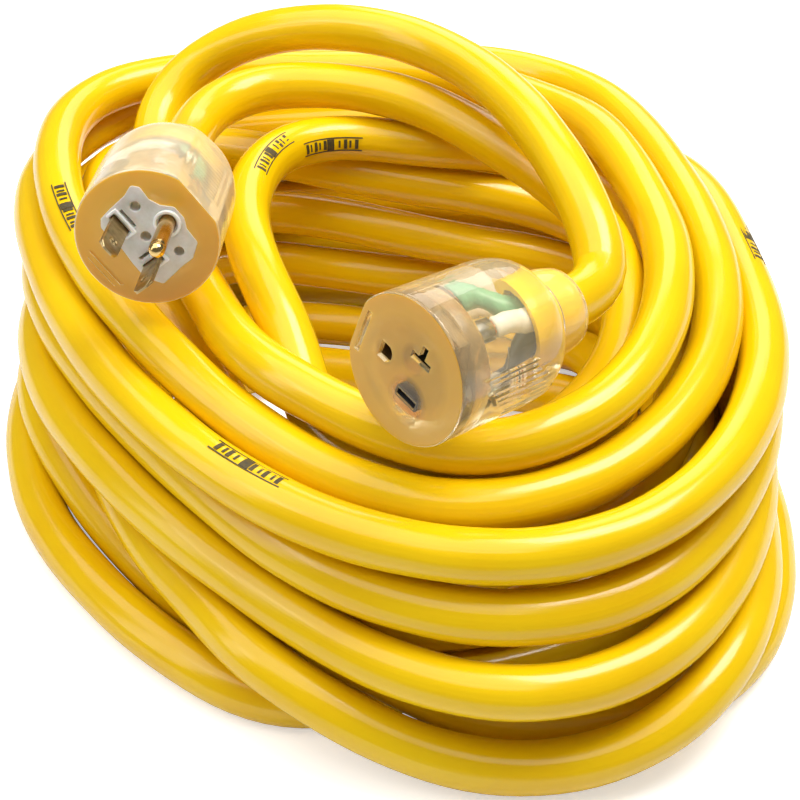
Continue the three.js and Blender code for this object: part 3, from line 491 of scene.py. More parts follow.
def node(nt, kind, **inputs):
    n = nt.nodes.new(kind)
    for key, value in inputs.items():
        k = key.replace("_", " ")
        if hasattr(n, key) and key not in [s.name for s in n.inputs]:
            setattr(n, key, value)
            continue
        sock = n.inputs[k] if k in n.inputs else n.inputs[int(key[1:])]
        if isinstance(value, bpy.types.NodeSocket):
            nt.links.new(value, sock)
        else:
            sock.default_value = value
    return n


def math_node(nt, op, a, b=None, c=None, clamp=False):
    n = nt.nodes.new("ShaderNodeMath")
    n.operation = op
    n.use_clamp = clamp
    for i, v in enumerate((a, b, c)):
        if v is None:
            continue
        if isinstance(v, bpy.types.NodeSocket):
            nt.links.new(v, n.inputs[i])
        else:
            n.inputs[i].default_value = v
    return n.outputs[0]


def ramp(nt, fac, stops):
    n = nt.nodes.new("ShaderNodeValToRGB")
    nt.links.new(fac, n.inputs[0])
    e = n.color_ramp.elements
    while len(e) < len(stops):
        e.new(0.5)
    for el, (p, c) in zip(e, stops):
        el.position = p
        el.color = (*c, 1) if len(c) == 3 else c
    return n.outputs[0]


def mix_colour(nt, fac, a, b, mode="MIX"):
    n = nt.nodes.new("ShaderNodeMix")
    n.data_type = "RGBA"
    n.blend_type = mode
    for sock, v in ((n.inputs[0], fac), (n.inputs[6], a), (n.inputs[7], b)):
        if isinstance(v, bpy.types.NodeSocket):
            nt.links.new(v, sock)
        else:
            sock.default_value = (*v, 1) if isinstance(v, (tuple, list)) and len(v) == 3 else v
    return n.outputs[2]


def noise(nt, vec, scale, detail=3.0, rough=0.5):
    n = nt.nodes.new("ShaderNodeTexNoise")
    nt.links.new(vec, n.inputs["Vector"])
    n.inputs["Scale"].default_value = scale
    n.inputs["Detail"].default_value = detail
    n.inputs["Roughness"].default_value = rough
    return n.outputs[0]


def mapping(nt, vec, scale=(1, 1, 1), rot=(0, 0, 0)):
    n = nt.nodes.new("ShaderNodeMapping")
    nt.links.new(vec, n.inputs[0])
    n.inputs["Scale"].default_value = scale
    n.inputs["Rotation"].default_value = rot
    return n.outputs[0]


def bump(nt, height, strength, distance, normal=None):
    n = nt.nodes.new("ShaderNodeBump")
    nt.links.new(height, n.inputs["Height"])
    n.inputs["Strength"].default_value = strength
    n.inputs["Distance"].default_value = distance
    if normal is not None:
        nt.links.new(normal, n.inputs["Normal"])
    return n.outputs[0]


def principled(nt, **kw):
    n = nt.nodes.new("ShaderNodeBsdfPrincipled")
    for key, value in kw.items():
        sock = n.inputs[key.replace("_", " ")]
        if isinstance(value, bpy.types.NodeSocket):
            nt.links.new(value, sock)
        else:
            sock.default_value = (*value, 1) if isinstance(value, tuple) and len(value) == 3 and sock.type == "RGBA" else value
    return n


def output(nt, shader):
    o = nt.nodes.new("ShaderNodeOutputMaterial")
    nt.links.new(shader, o.inputs["Surface"])


def mix_shader(nt, fac, a, b):
    n = nt.nodes.new("ShaderNodeMixShader")
    if isinstance(fac, bpy.types.NodeSocket):
        nt.links.new(fac, n.inputs[0])
    else:
        n.inputs[0].default_value = fac
    nt.links.new(a, n.inputs[1])
    nt.links.new(b, n.inputs[2])
    return n.outputs[0]


def yellow_vinyl():
    m, nt = material("yellow_jacket")
    co = nt.nodes.new("ShaderNodeTexCoord").outputs["Object"]
    uvn = nt.nodes.new("ShaderNodeUVMap")
    uvn.uv_map = "along"
    uv = uvn.outputs[0]
    broad = noise(nt, co, 22, 2.0, 0.5)
    fine = noise(nt, co, 160, 4.0, 0.6)
    colour = ramp(nt, broad, [(0.30, (0.85, 0.508, 0.002)), (0.52, (0.89, 0.570, 0.0025)), (0.75, (0.91, 0.602, 0.004))])
    colour = mix_colour(nt, math_node(nt, "MULTIPLY", fine, 0.10), colour, (0.55, 0.28, 0.0))
    # drawn streaks along the jacket and faint crosswise scuffs
    streak = noise(nt, mapping(nt, uv, (9.0, 9.0, 1.0)), 1.0, 2.0, 0.5)
    scuff = noise(nt, mapping(nt, uv, (260.0, 7.0, 1.0)), 1.0, 3.0, 0.6)
    grain = noise(nt, co, 900, 3.0, 0.6)
    n1 = bump(nt, streak, 0.12, 0.0016)
    n2 = bump(nt, scuff, 0.045, 0.0003, n1)
    n3 = bump(nt, broad, 0.25, 0.0016, n2)
    n4 = bump(nt, grain, 0.05, 0.00012, n3)
    rough = math_node(nt, "MULTIPLY_ADD", fine, 0.12, 0.11)
    p = principled(
        nt,
        Base_Color=colour,
        Roughness=rough,
        Specular_IOR_Level=0.38,
        IOR=1.5,
        Subsurface_Weight=0.06,
        Subsurface_Scale=0.004,
        Subsurface_Radius=(1.0, 0.55, 0.08),
        Coat_Weight=0.14,
        Coat_Roughness=0.24,
        Normal=n4,
    )
    output(nt, p.outputs[0])
    return m


def clear_vinyl(name, tint, haze_colour, haze, rough, shadow):
    """Clear moulded vinyl: refracting, a little cloudy, letting lamps through."""
    m, nt = material(name)
    co = nt.nodes.new("ShaderNodeTexCoord").outputs["Object"]
    cloud = noise(nt, co, 70, 3.0, 0.55)
    grain = noise(nt, co, 700, 2.0, 0.5)
    n1 = bump(nt, cloud, 0.22, 0.0014)
    n2 = bump(nt, grain, 0.05, 0.0002, n1)
    glass = principled(nt, Base_Color=tint, Roughness=math_node(nt, "MULTIPLY_ADD", cloud, 0.05, rough), IOR=1.46, Transmission_Weight=1.0, Normal=n2)
    milky = principled(nt, Base_Color=haze_colour, Roughness=0.25, Subsurface_Weight=0.0, Normal=n2)
    body = mix_shader(nt, math_node(nt, "MULTIPLY_ADD", cloud, haze * 0.8, haze * 0.6), glass.outputs[0], milky.outputs[0])
    lp = nt.nodes.new("ShaderNodeLightPath")
    tr = nt.nodes.new("ShaderNodeBsdfTransparent")
    tr.inputs[0].default_value = (*shadow, 1)
    output(nt, mix_shader(nt, lp.outputs["Is Shadow Ray"], body, tr.outputs[0]))
    return m


def amber_face(name, low, high, see, end, windows=()):
    """Front skin of a moulded end: light that has travelled the whole length of the body comes back amber."""
    m, nt = material(name)
    co = nt.nodes.new("ShaderNodeTexCoord").outputs["Object"]
    cloud = noise(nt, co, 55, 3.0, 0.55)
    grain = noise(nt, co, 600, 2.0, 0.5)
    sx = nt.nodes.new("ShaderNodeSeparateXYZ")
    nt.links.new(co, sx.inputs[0])
    # painted light: the face colour runs from low to high with height in the world, so the plug's face is painted
    # brighter towards its top, as if lit from above
    h = math_node(nt, "MULTIPLY_ADD", sx.outputs[2], 1 / 0.040, 0.5 - end.o[2] / 1000 / 0.040, clamp=True)
    h = math_node(nt, "MULTIPLY_ADD", cloud, 0.25, math_node(nt, "MULTIPLY_ADD", h, 0.85, -0.05), clamp=True)
    colour = ramp(nt, h, [(0.0, low), (1.0, high)])
    n1 = bump(nt, cloud, 0.15, 0.0010)
    n2 = bump(nt, grain, 0.06, 0.0002, n1)
    gel = principled(
        nt,
        Base_Color=colour,
        Roughness=0.30,
        Specular_IOR_Level=0.35,
        Subsurface_Weight=0.35,
        Subsurface_Scale=0.006,
        Subsurface_Radius=(1.0, 0.6, 0.2),
        Coat_Weight=0.08,
        Coat_Roughness=0.06,
        Normal=n2,
    )
    glass = principled(nt, Base_Color=(0.95, 0.74, 0.36), Roughness=0.06, IOR=1.46, Transmission_Weight=1.0, Normal=n2)
    clear = math_node(nt, "MULTIPLY_ADD", cloud, 0.3, see - 0.15, clamp=True)
    mid = nt.nodes.new("ShaderNodeVectorMath")
    mid.operation = "DISTANCE"
    nt.links.new(co, mid.inputs[0])
    mid.inputs[1].default_value = end.at(0, 0, 0)
    inner = math_node(nt, "MULTIPLY_ADD", mid.outputs["Value"], -1000 / 3.0, 16.5 / 3.0, clamp=True)
    clear = math_node(nt, "MULTIPLY", clear, math_node(nt, "MULTIPLY_ADD", inner, 0.8, 0.2))
    for x, y, rr, top in windows:
        c = end.at(x, y, 0)
        dist = nt.nodes.new("ShaderNodeVectorMath")
        dist.operation = "DISTANCE"
        nt.links.new(co, dist.inputs[0])
        dist.inputs[1].default_value = c
        near = math_node(nt, "SMOOTH_MIN", math_node(nt, "MULTIPLY_ADD", dist.outputs["Value"], -1000 / rr * 1.6, 1.9, clamp=True), 1.0, 0.2)
        clear = math_node(nt, "MAXIMUM", clear, math_node(nt, "MULTIPLY", near, top))
    body = mix_shader(nt, clear, gel.outputs[0], glass.outputs[0])
    lp = nt.nodes.new("ShaderNodeLightPath")
    tr = nt.nodes.new("ShaderNodeBsdfTransparent")
    tr.inputs[0].default_value = (0.85, 0.70, 0.45, 1)
    output(nt, mix_shader(nt, math_node(nt, "MULTIPLY", lp.outputs["Is Shadow Ray"], 0.8), body, tr.outputs[0]))
    return m


def plain(name, colour, dark, rough, scale=300.0, metallic=0.0, bump_d=0.0002, sss=0.0, trans=0.0, stretch=(1, 1, 1), coat=0.0, rough_var=0.15, ior=1.5):
    m, nt = material(name)
    co = nt.nodes.new("ShaderNodeTexCoord").outputs["Object"]
    vec = mapping(nt, co, stretch)
    a = noise(nt, vec, scale, 4.0, 0.6)
    b = noise(nt, co, scale * 0.18, 2.0, 0.5)
    col = ramp(nt, a, [(0.30, dark), (0.62, colour)])
    col = mix_colour(nt, math_node(nt, "MULTIPLY", b, 0.3), col, dark)
    nrm = bump(nt, a, 0.18, bump_d)
    p = principled(
        nt,
        Base_Color=col,
        Roughness=math_node(nt, "MULTIPLY_ADD", b, rough_var, rough),
        Metallic=metallic,
        IOR=ior,
        Subsurface_Weight=sss,
        Subsurface_Scale=0.002,
        Transmission_Weight=trans,
        Coat_Weight=coat,
        Coat_Roughness=0.1,
        Normal=nrm,
    )
    output(nt, p.outputs[0])
    return m


def banded(name, base, bands, end, x, y, axis_z0, axis_z1):
    """Resistor body with plain colour bands across it, by place along the end's axis."""
    m, nt = material(name)
    co = nt.nodes.new("ShaderNodeTexCoord").outputs["Object"]
    dot = nt.nodes.new("ShaderNodeVectorMath")
    dot.operation = "DOT_PRODUCT"
    nt.links.new(co, dot.inputs[0])
    dot.inputs[1].default_value = tuple(end.z)
    z0 = float(end.o @ end.z) / 1000
    t = math_node(nt, "MULTIPLY_ADD", dot.outputs["Value"], 1000 / (axis_z1 - axis_z0), -(z0 * 1000 + axis_z0) / (axis_z1 - axis_z0))
    stops = []
    for p0, p1, c in bands:
        stops += [(p0 - 0.005, base), (p0, c), (p1, c), (p1 + 0.005, base)]
    col = ramp(nt, t, [(0.0, base)] + stops + [(1.0, base)])
    a = noise(nt, co, 900, 3.0, 0.6)
    p = principled(nt, Base_Color=col, Roughness=math_node(nt, "MULTIPLY_ADD", a, 0.2, 0.35), Coat_Weight=0.3, Normal=bump(nt, a, 0.1, 0.0001))
    output(nt, p.outputs[0])
    return m


YELLOW = yellow_vinyl()
PLUG_CLEAR = clear_vinyl("plug_clear_vinyl", (0.97, 0.92, 0.80), (0.86, 0.72, 0.46), 0.50, 0.06, (0.96, 0.92, 0.82))
CONN_CLEAR = clear_vinyl("connector_clear_vinyl", (0.97, 0.90, 0.70), (0.88, 0.73, 0.42), 0.20, 0.03, (0.97, 0.94, 0.86))
PLUG_AMBER = amber_face("plug_face_vinyl", (0.62, 0.31, 0.03), (0.84, 0.48, 0.05), 0.14, PLUG)
CONN_AMBER = amber_face("connector_face_vinyl", (0.66, 0.39, 0.055), (0.66, 0.36, 0.035), 0.24, CONN, ((-HOT_X, BLADES_Y - 0.5, 7.2, 0.97), (5.5, -1.5, 5.5, 0.55), (0.0, GROUND_Y, 4.6, 0.45)))
CARRIER = plain("milky_carrier", (0.80, 0.79, 0.75), (0.66, 0.63, 0.56), 0.30, 260, sss=0.25, trans=0.12, coat=0.2)
RIM = plain("white_ridge", (0.92, 0.92, 0.90), (0.84, 0.83, 0.80), 0.28, 400, sss=0.15, coat=0.3)
BRASS = plain("aged_brass", (0.62, 0.48, 0.24), (0.34, 0.25, 0.12), 0.22, 420, metallic=1.0, stretch=(1, 1, 0.25), bump_d=0.00015, rough_var=0.22)
GOLD = plain("bright_brass", (0.80, 0.58, 0.24), (0.52, 0.34, 0.11), 0.12, 300, metallic=1.0, bump_d=0.0001, rough_var=0.16)
DARK_BRONZE = plain("dark_bronze", (0.20, 0.12, 0.05), (0.08, 0.045, 0.02), 0.30, 380, metallic=0.6, bump_d=0.00012, rough_var=0.2)
# painted shade: the hot sleeve's steel is given a dark colour and is only part metal, standing in for the shade deep
# inside its slot; the neutral sleeve keeps the plain contact steel
STEEL_PAINTED_SHADE = plain("spring_steel_painted_shade", (0.085, 0.09, 0.11), (0.04, 0.042, 0.055), 0.26, 380, metallic=0.55, bump_d=0.00012, rough_var=0.2)
STEEL = plain("contact_steel", (0.40, 0.40, 0.40), (0.17, 0.17, 0.17), 0.22, 380, metallic=1.0, stretch=(0.3, 1, 1), bump_d=0.00012, rough_var=0.2)
COPPER = plain("copper_strands", (0.80, 0.42, 0.24), (0.45, 0.20, 0.10), 0.25, 500, metallic=1.0)
BLACK = plain("black_insulation", (0.055, 0.055, 0.058), (0.025, 0.025, 0.027), 0.28, 350, coat=0.3)
WHITE = plain("white_insulation", (0.86, 0.85, 0.80), (0.72, 0.70, 0.63), 0.30, 350, sss=0.1, coat=0.3)
GREEN = plain("green_insulation", (0.16, 0.42, 0.26), (0.09, 0.28, 0.17), 0.30, 350, coat=0.3)
INK = plain("black_ink", (0.035, 0.028, 0.015), (0.11, 0.075, 0.01), 0.42, 1400, rough_var=0.25)
LAMP = plain("lamp_glass", (0.93, 0.92, 0.90), (0.85, 0.84, 0.82), 0.10, 200, trans=0.75, coat=0.5, ior=1.45)
CONN_CARRIER = plain("amber_carrier", (0.80, 0.56, 0.26), (0.66, 0.42, 0.15), 0.16, 220, sss=0.0, trans=0.82, coat=0.2, ior=1.40)
RESISTOR = banded(
    "resistor_paint",
    (0.60, 0.46, 0.30),
    [(0.22, 0.30, (0.35, 0.12, 0.03)), (0.40, 0.48, (0.02, 0.02, 0.02)), (0.56, 0.64, (0.75, 0.35, 0.02)), (0.76, 0.83, (0.45, 0.32, 0.08))],
    CONN, -2.2, -10.4, -31.5, -25.1,
)

# ------------------------------------------------------------- the coiled cord
line = np.array(LINE, float).reshape(-1, 3) / 10
lead_in = PLUG.world([[0, 0, z] for z in (-38.0, -46.0, -54.0, -62.0, -66.5)]) * 1000
lead_out = CONN.world([[0, 0, z] for z in (-66.5, -62.0, -54.0, -46.0, -38.0)]) * 1000
curve, total = spline(np.vstack([lead_in, line, lead_out]))
STEP = 5.0
count = int(total / STEP)
S = np.linspace(0, total, count)
centre = curve(S)
T, A, B = transport(centre, PLUG.x)
lay = 2 * np.pi / 260.0  # the conductors' lay faintly shows through the jacket


def jacket_radius(i, t):
    s = S[i]
    sway = 0.06 * np.sin(s / 5.3 + 2.0 * np.sin(s / 61.0)) + 0.07 * np.sin(s / 13.7 + 1.3) + 0.05 * np.sin(s / 47.0)
    lump = 0.09 * np.cos(3 * (t - lay * s) + 0.8 * np.sin(s / 29.0))
    oval = 0.07 * np.cos(2 * t + s / 140.0)
    return CORD_R - 0.10 + sway + lump + oval


SIDES, INNER = 28, 14
outer_rings = ring_grid(centre, A, B, jacket_radius, SIDES)
inner_rings = ring_grid(centre, A, B, BORE_R, INNER)


def jacket_piece(name, i0, i1):
    V, F = closed_tube(outer_rings[i0 : i1 + 1], inner_rings[i0 : i1 + 1])
    n = i1 - i0 + 1
    uv_o = np.stack(np.broadcast_arrays(S[i0 : i1 + 1, None] / 1000, (np.abs(np.arange(SIDES) / SIDES * 2 - 1))[None, :]), -1)
    uv_i = np.stack(np.broadcast_arrays(S[i0 : i1 + 1, None] / 1000, (np.abs(np.arange(INNER) / INNER * 2 - 1))[None, :]), -1)
    uv = np.vstack([uv_o.reshape(-1, 2), uv_i.reshape(-1, 2)])
    return mesh_object(name, V / 1000, F, YELLOW, 40, uv=uv)


s_plug = 38.0  # arc length from local z -38 to the plug's housing end plus flex
start_s = FLEX_AT - 38.0 + FLEX_REACH
end_s = total - start_s
i_a = int(np.argmin(np.abs(S - start_s)))
i_b = int(np.argmin(np.abs(S - end_s)))

coil = jacket_piece("cord_jacket_skin", i_a, i_b)
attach(coil, "coil")
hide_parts("cord_jacket")

plug_flex = jacket_piece("plug_jacket_flex", 0, i_a)
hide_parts("plug_jacket_end")
conn_flex = jacket_piece("connector_jacket_flex", i_b, count - 1)
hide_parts("connector_jacket_end")
tuple(PLUG.at(0, 0, -61.0))
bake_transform(plug_flex)
tuple(CONN.at(0, 0, -61.0))
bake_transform(conn_flex)

# the three insulated conductors inside the jacket
want = -CONN.x
end_T, end_A, end_B = T[-1], A[-1], B[-1]
twist = math.atan2(float(want @ end_B), float(want @ end_A))
j0 = int(np.argmin(np.abs(S - (FLEX_AT - 38.0 + 2.5))))
j1 = int(np.argmin(np.abs(S - (total - (FLEX_AT - 38.0 + 2.5)))))
for node_name, deg, mat_ in (("core_hot", 30, BLACK), ("core_neutral", 150, WHITE), ("core_ground", 270, GREEN)):
    idx = np.unique(np.r_[np.arange(j0, j1, 2), j1])
    phi = math.radians(deg) + twist * S[idx] / total
    C = centre[idx] + CORE_PITCH_R * (np.cos(phi)[:, None] * A[idx] + np.sin(phi)[:, None] * B[idx])
    V, F = closed_tube(ring_grid(C, A[idx], B[idx], CORE_R, 10))
    ob = mesh_object(node_name + "_insulation", V / 1000, F, mat_, 40)
    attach(ob, "coil")
    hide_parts(node_name)

# plain printed marks on the jacket: a framed row of bars
if MARKS:
    parts = []

    def patch(s0, s1, phi0, phi1):
        """Thin curved slab of ink on the jacket."""
        n, m = max(2, int((s1 - s0) / 1.5) + 1), max(2, int(abs(phi1 - phi0) * CORD_R / 0.9) + 1)
        ss = np.linspace(s0, s1, n)
        C = curve(ss)
        a = np.stack([np.interp(ss, S, A[:, k]) for k in range(3)], -1)
        b = np.stack([np.interp(ss, S, B[:, k]) for k in range(3)], -1)
        a /= np.linalg.norm(a, axis=1)[:, None]
        b /= np.linalg.norm(b, axis=1)[:, None]
        t = np.linspace(phi0, phi1, m)
        layers = []
        for r in (CORD_R - 0.12, CORD_R + 0.045):
            g = C[:, None, :] + r * (np.cos(t)[None, :, None] * a[:, None, :] + np.sin(t)[None, :, None] * b[:, None, :])
            layers.append(g.reshape(-1, 3))
        V = np.vstack(layers)
        F = []
        N = n * m
        for i in range(n - 1):
            for k in range(m - 1):
                q = (i * m + k, i * m + k + 1, (i + 1) * m + k + 1, (i + 1) * m + k)
                F.append(tuple(x + N for x in q))
                F.append(q[::-1])
        rim = [(0, k) for k in range(m - 1)] + [(i, m - 1) for i in range(n - 1)] + [(n - 1, k) for k in range(m - 1, 0, -1)] + [(i, 0) for i in range(n - 1, 0, -1)]
        for q, (i, k) in enumerate(rim):
            i2, k2 = rim[(q + 1) % len(rim)]
            a0, a1 = i * m + k, i2 * m + k2
            F.append((a0, a1, a1 + N, a0 + N))
        return V / 1000, F

    for s_mid, dx, dy, dz in MARKS:
        i = int(np.argmin(np.abs(S - s_mid)))
        d = np.array([dx, dy, dz])
        phi = math.atan2(float(d @ B[i]), float(d @ A[i]))
        L2, H2 = 13.5, 2.1
        h = H2 / CORD_R
        for v0, v1 in ((h, h + 0.05), (-h - 0.05, -h)):
            parts.append(patch(s_mid - L2, s_mid + L2, phi + v0, phi + v1))
        x = -L2 + 1.0
        widths = [1.4, 0.8, 1.4, 0.8, 1.4, 0.8]
        k = 0
        while x < L2 - 1.6:
            if abs(x + 0.6) > 2.6:
                w = widths[k % 6]
                hh = h * (0.62 if k % 2 else 0.8)
                parts.append(patch(s_mid + x, s_mid + x + w, phi - hh, phi + hh))
                k += 1
            x += 2.3
        parts.append(patch(s_mid - 1.6, s_mid + 1.6, phi - h * 0.95, phi + h * 0.95))
    V, F = join(parts)
    ink = mesh_object("jacket_print_bars", V, F, INK, 40)
    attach(ink, "coil")

# --------------------------------------------------------- shared clear bodies
SEG = 240


def barrel_profile():
    """(radius, z) from the front of the cord bore, out of the rear, over the shoulder to the face."""
    p = [(0.0, -40.5), (7.2, -40.5), (7.7, -41.0), (7.7, -61.2), (8.3, -62.0)]
    p += arc(11.3, -60.9, 1.1, -90, -20, 5)
    p += [(12.75, -59.0), (13.1, -57.0), (13.2, -55.2), (13.1, -52.6)]
    p += arc(12.35, -50.3, 0.6, 20, -60, 4)[::1]
    p += [(12.15, -49.2), (11.95, -48.4), (12.15, -47.5)]
    p += [(12.6, -46.6)]
    e = 2 / 2.6
    for k in range(1, 19):
        t = math.radians(90 - k * 5)
        p.append((12.9 + 8.6 * abs(math.cos(t)) ** e, -31.5 - 14.5 * abs(math.sin(t)) ** e))
    for z in np.linspace(-30.5, -1.6, 44):
        p.append((BARREL_R, float(z)))
    p += arc(BARREL_R - 0.9, -0.9, 0.9, 0, 90, 6)
    p += [(19.6, 0.0), (15.0, 0.0), (0.0, 0.0)]
    return p


def panel_height(along, arcmm, z0, z1, half, ribs_across):
    """Raised border line and fine ribs of a plain panel."""
    edge = np.minimum(np.minimum(along - z0, z1 - along), half - np.abs(arcmm))
    border = np.clip(1 - np.abs(edge - 0.5) / 0.5, 0, 1)
    border = border * border * (3 - 2 * border)
    w = 0.5 + 0.5 * np.cos(2 * np.pi * (along - z0 if ribs_across else arcmm) / 2.1)
    core = np.clip((edge - 1.5) / 0.4, 0, 1)
    return 0.32 * border + 0.26 * core * w**2


def relief(theta, z, r, panels, flat_panel):
    """Radius of the barrel at an angle and place along it: parting lines, ribbed panels, and the flat beside the ground."""
    out = r.copy()
    for th in (PARTING, PARTING + np.pi):
        d = (theta - th + np.pi) % (2 * np.pi) - np.pi
        out += 0.10 * np.clip(1 - np.abs(d * BARREL_R) / 0.45, 0, 1) * np.clip((z + 44.0) / 4.0, 0, 1)
    for th, z0, z1, half, slant, ribs_across in panels:
        d = (theta - th + np.pi) % (2 * np.pi) - np.pi
        arcmm = d * BARREL_R
        out += np.where(r > BARREL_R - 1.2, panel_height(z - slant * arcmm, arcmm, z0, z1, half, ribs_across), 0)
    s = np.sin(theta)
    k = np.clip((z + 38.5) / 1.6, 0, 1)
    k = k * k * (3 - 2 * k)
    lim = np.where(s > 0.5, 19.6 / np.maximum(s, 0.5), 99.0)
    if flat_panel:
        z0, z1, half = flat_panel
        across = 19.6 / np.tan(np.where(s > 0.5, theta, 1.57))
        lim = lim + np.where(s > 0.5, panel_height(z, across, z0, z1, half, True) / np.maximum(s, 0.5), 0)
    cut = np.minimum(out, lim)
    return out * (1 - k) + cut * k


PARTING = math.radians(24)


def clear_body(name, end, panels, flat_panel, mats, cutters):
    prof = barrel_profile()
    V, F = lathe(prof, SEG)
    n = (len(V) - 2) // SEG
    th = np.tile(np.arange(SEG) / SEG * 2 * np.pi, n)
    g = V[:-2]
    r = np.hypot(g[:, 0], g[:, 1])
    on_skin = r > 17.0
    rr = r.copy()
    rr[on_skin] = relief(th[on_skin], g[on_skin, 2], r[on_skin], panels, flat_panel)
    g[:, 0] = rr * np.cos(th)
    g[:, 1] = rr * np.sin(th)
    V[:-2] = g
    ob = mesh_object(name, end.world(V), F, mats, None)
    for c in cutters:
        cv, cf = c
        cut = mesh_object("cutter", end.world(cv), cf, [mats[0]], None)
        boolean_difference(ob, cut)
    me = ob.data
    me.materials.clear()
    for m_ in mats:
        me.materials.append(m_)
    # the flat front takes the face finish, the rest is seen-through body
    zax = Vector(end.z)
    o = Vector(end.o / 1000)
    idx = []
    for p in me.polygons:
        d = (p.center - o).dot(zax) * 1000
        idx.append(1 if (p.normal.dot(zax) > 0.9 and d > -0.6) else 0)
    me.polygons.foreach_set("material_index", np.array(idx, np.int32))
    me.polygons.foreach_set("use_smooth", np.ones(len(me.polygons), bool))
    me.set_sharp_from_angle(angle=math.radians(34))
    me.update()
    return ob


def crimp(x, y, turn):
    """Crimp barrel rolled from strip, open along a seam."""
    pts_o, pts_i = [], []
    n = 22
    gap = math.radians(26)
    for k in range(n + 1):
        t = turn + gap / 2 + (2 * math.pi - gap) * k / n
        pts_o.append((x + 2.5 * math.cos(t), y + 2.5 * math.sin(t)))
        pts_i.append((x + 1.75 * math.cos(t), y + 1.75 * math.sin(t)))
    return plate(pts_o + pts_i[::-1], [], -21.5, TAIL_Z, 0.12, 1)


def strands(x, y):
    """Seven twisted wires."""
    parts = []
    zs = np.linspace(-25.6, -14.6, 26)
    for k in range(7):
        rr = 0.0 if k == 0 else 1.06
        a = k * math.pi / 3 + (zs + 25) * 0.28
        P = np.stack([x + rr * np.cos(a), y + rr * np.sin(a), zs], -1)
        parts.append(pipe([tuple(p) for p in P], 0.50, 8, 0.6))
    return join(parts)


def lead(x, y, deg):
    a = math.radians(deg)
    cx, cy = CORE_PITCH_R * math.cos(a), CORE_PITCH_R * math.sin(a)
    P = [
        (x, y, -22.6), (x, y, -25.0), (x * 0.98 + cx * 0.02, y * 0.98 + cy * 0.02, -27.6),
        (cx + (x - cx) * 0.45, cy + (y - cy) * 0.45, -32.6), (cx + (x - cx) * 0.06, cy + (y - cy) * 0.06, -37.6), (cx, cy, -40.5),
        (cx, cy, -46.0), (cx, cy, -56.0), (cx, cy, -(FLEX_AT - 2.5)),
    ]
    return pipe(P, CORE_R, 20, 0.8)


CARRIER_OUTLINE = [
    (14.1, -5.9), (13.1, 1.6), (12.9, 6.6), (9.9, 11.1), (4.7, 11.4), (1.7, 13.0), (-2.6, 13.0), (-5.6, 10.0), (-8.9, 8.6),
    (-13.2, 9.0), (-15.2, 7.2), (-13.9, 3.7), (-13.3, -2.7), (-12.6, -6.9), (-10.5, -8.7), (-5.3, -8.9), (-1.9, -8.3), (3.7, -8.9), (9.2, -9.1),
]

# ------------------------------------------------------------------- the plug
hot, neutral, ground = (HOT_X, BLADES_Y), (NEUTRAL_X, BLADES_Y), (0.0, GROUND_Y)
w2, t2 = BLADE_W / 2, BLADE_T / 2
outline = rounded(CARRIER_OUTLINE, 1.1, 4)
pocket_outline = rounded(CARRIER_OUTLINE, 1.1, 4)
plug_panels = []
plug_face_marks = [
    plate(rounded([(-6.6, -16.7), (6.6, -16.7), (7.6, -15.6), (-7.6, -15.6)], 0.4, 3), [], -0.55, 1.0),
    plate(rounded([(-5.6, -18.4), (5.6, -18.4), (6.2, -17.9), (-6.2, -17.9)], 0.2, 3), [], -0.45, 1.0),
]
plug_body = clear_body(
    "plug_clear_body", PLUG, plug_panels, (-34.0, -8.5, 6.6), [PLUG_CLEAR, PLUG_AMBER],
    [plate(pocket_outline, [], -CARRIER_T, 1.5)] + plug_face_marks,
)
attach(plug_body, "plug_head")
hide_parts("plug_housing")

holes = [
    rect(*neutral, w2 + 0.25, t2 + 0.25, 0.3),
    rect(*hot, t2 + 0.25, w2 + 0.25, 0.3),
    circle(*ground, PIN_D / 2 + 0.2, 32),
    circle(-9.5, 3.9, 1.6), circle(-0.6, 0.1, 1.6), circle(8.8, 4.8, 1.5),
    rect(neutral[0], -0.4, 3.2, 0.5, 0.3), rect(3.8, -3.5, 0.5, 2.7, 0.3),
]
put(PLUG, "plug_milky_carrier", plate(outline, holes, -CARRIER_T, 0.12, 0.3), CARRIER, "plug_head", ["plug_blade_carrier"], "pale_carrier")
ridge = []
ridge.append(plate(rounded([(neutral[0] - w2 - 1.5, neutral[1] - t2 - 0.4), (neutral[0] - w2 - 1.5, neutral[1] + t2 + 2.0), (neutral[0] + w2 + 1.5, neutral[1] + t2 + 2.0), (neutral[0] + w2 + 1.5, neutral[1] - t2 - 0.4), (neutral[0] + w2 + 0.55, neutral[1] - t2 - 0.4), (neutral[0] + w2 + 0.55, neutral[1] + t2 + 1.05), (neutral[0] - w2 - 0.55, neutral[1] + t2 + 1.05), (neutral[0] - w2 - 0.55, neutral[1] - t2 - 0.4)], 0.4, 3), [], -0.2, 0.95, 0.25))
ridge.append(plate(rounded([(hot[0] - t2 - 1.5, hot[1] + w2 - 2.6), (hot[0] - t2 - 1.5, hot[1] + w2 + 1.5), (hot[0] + t2 + 1.5, hot[1] + w2 + 1.5), (hot[0] + t2 + 1.5, hot[1] + w2 - 2.6), (hot[0] + t2 + 0.55, hot[1] + w2 - 2.6), (hot[0] + t2 + 0.55, hot[1] + w2 + 0.55), (hot[0] - t2 - 0.55, hot[1] + w2 + 0.55), (hot[0] - t2 - 0.55, hot[1] + w2 - 2.6)], 0.4, 3), [], -0.2, 0.95, 0.25))
ridge.append(plate(circle(*ground, PIN_D / 2 + 1.75, 40), [circle(*ground, PIN_D / 2 + 0.75, 36)], -0.2, 0.95, 0.28))
put(PLUG, "plug_carrier_ridges", join(ridge), RIM, "plug_head", (), "pale_carrier")


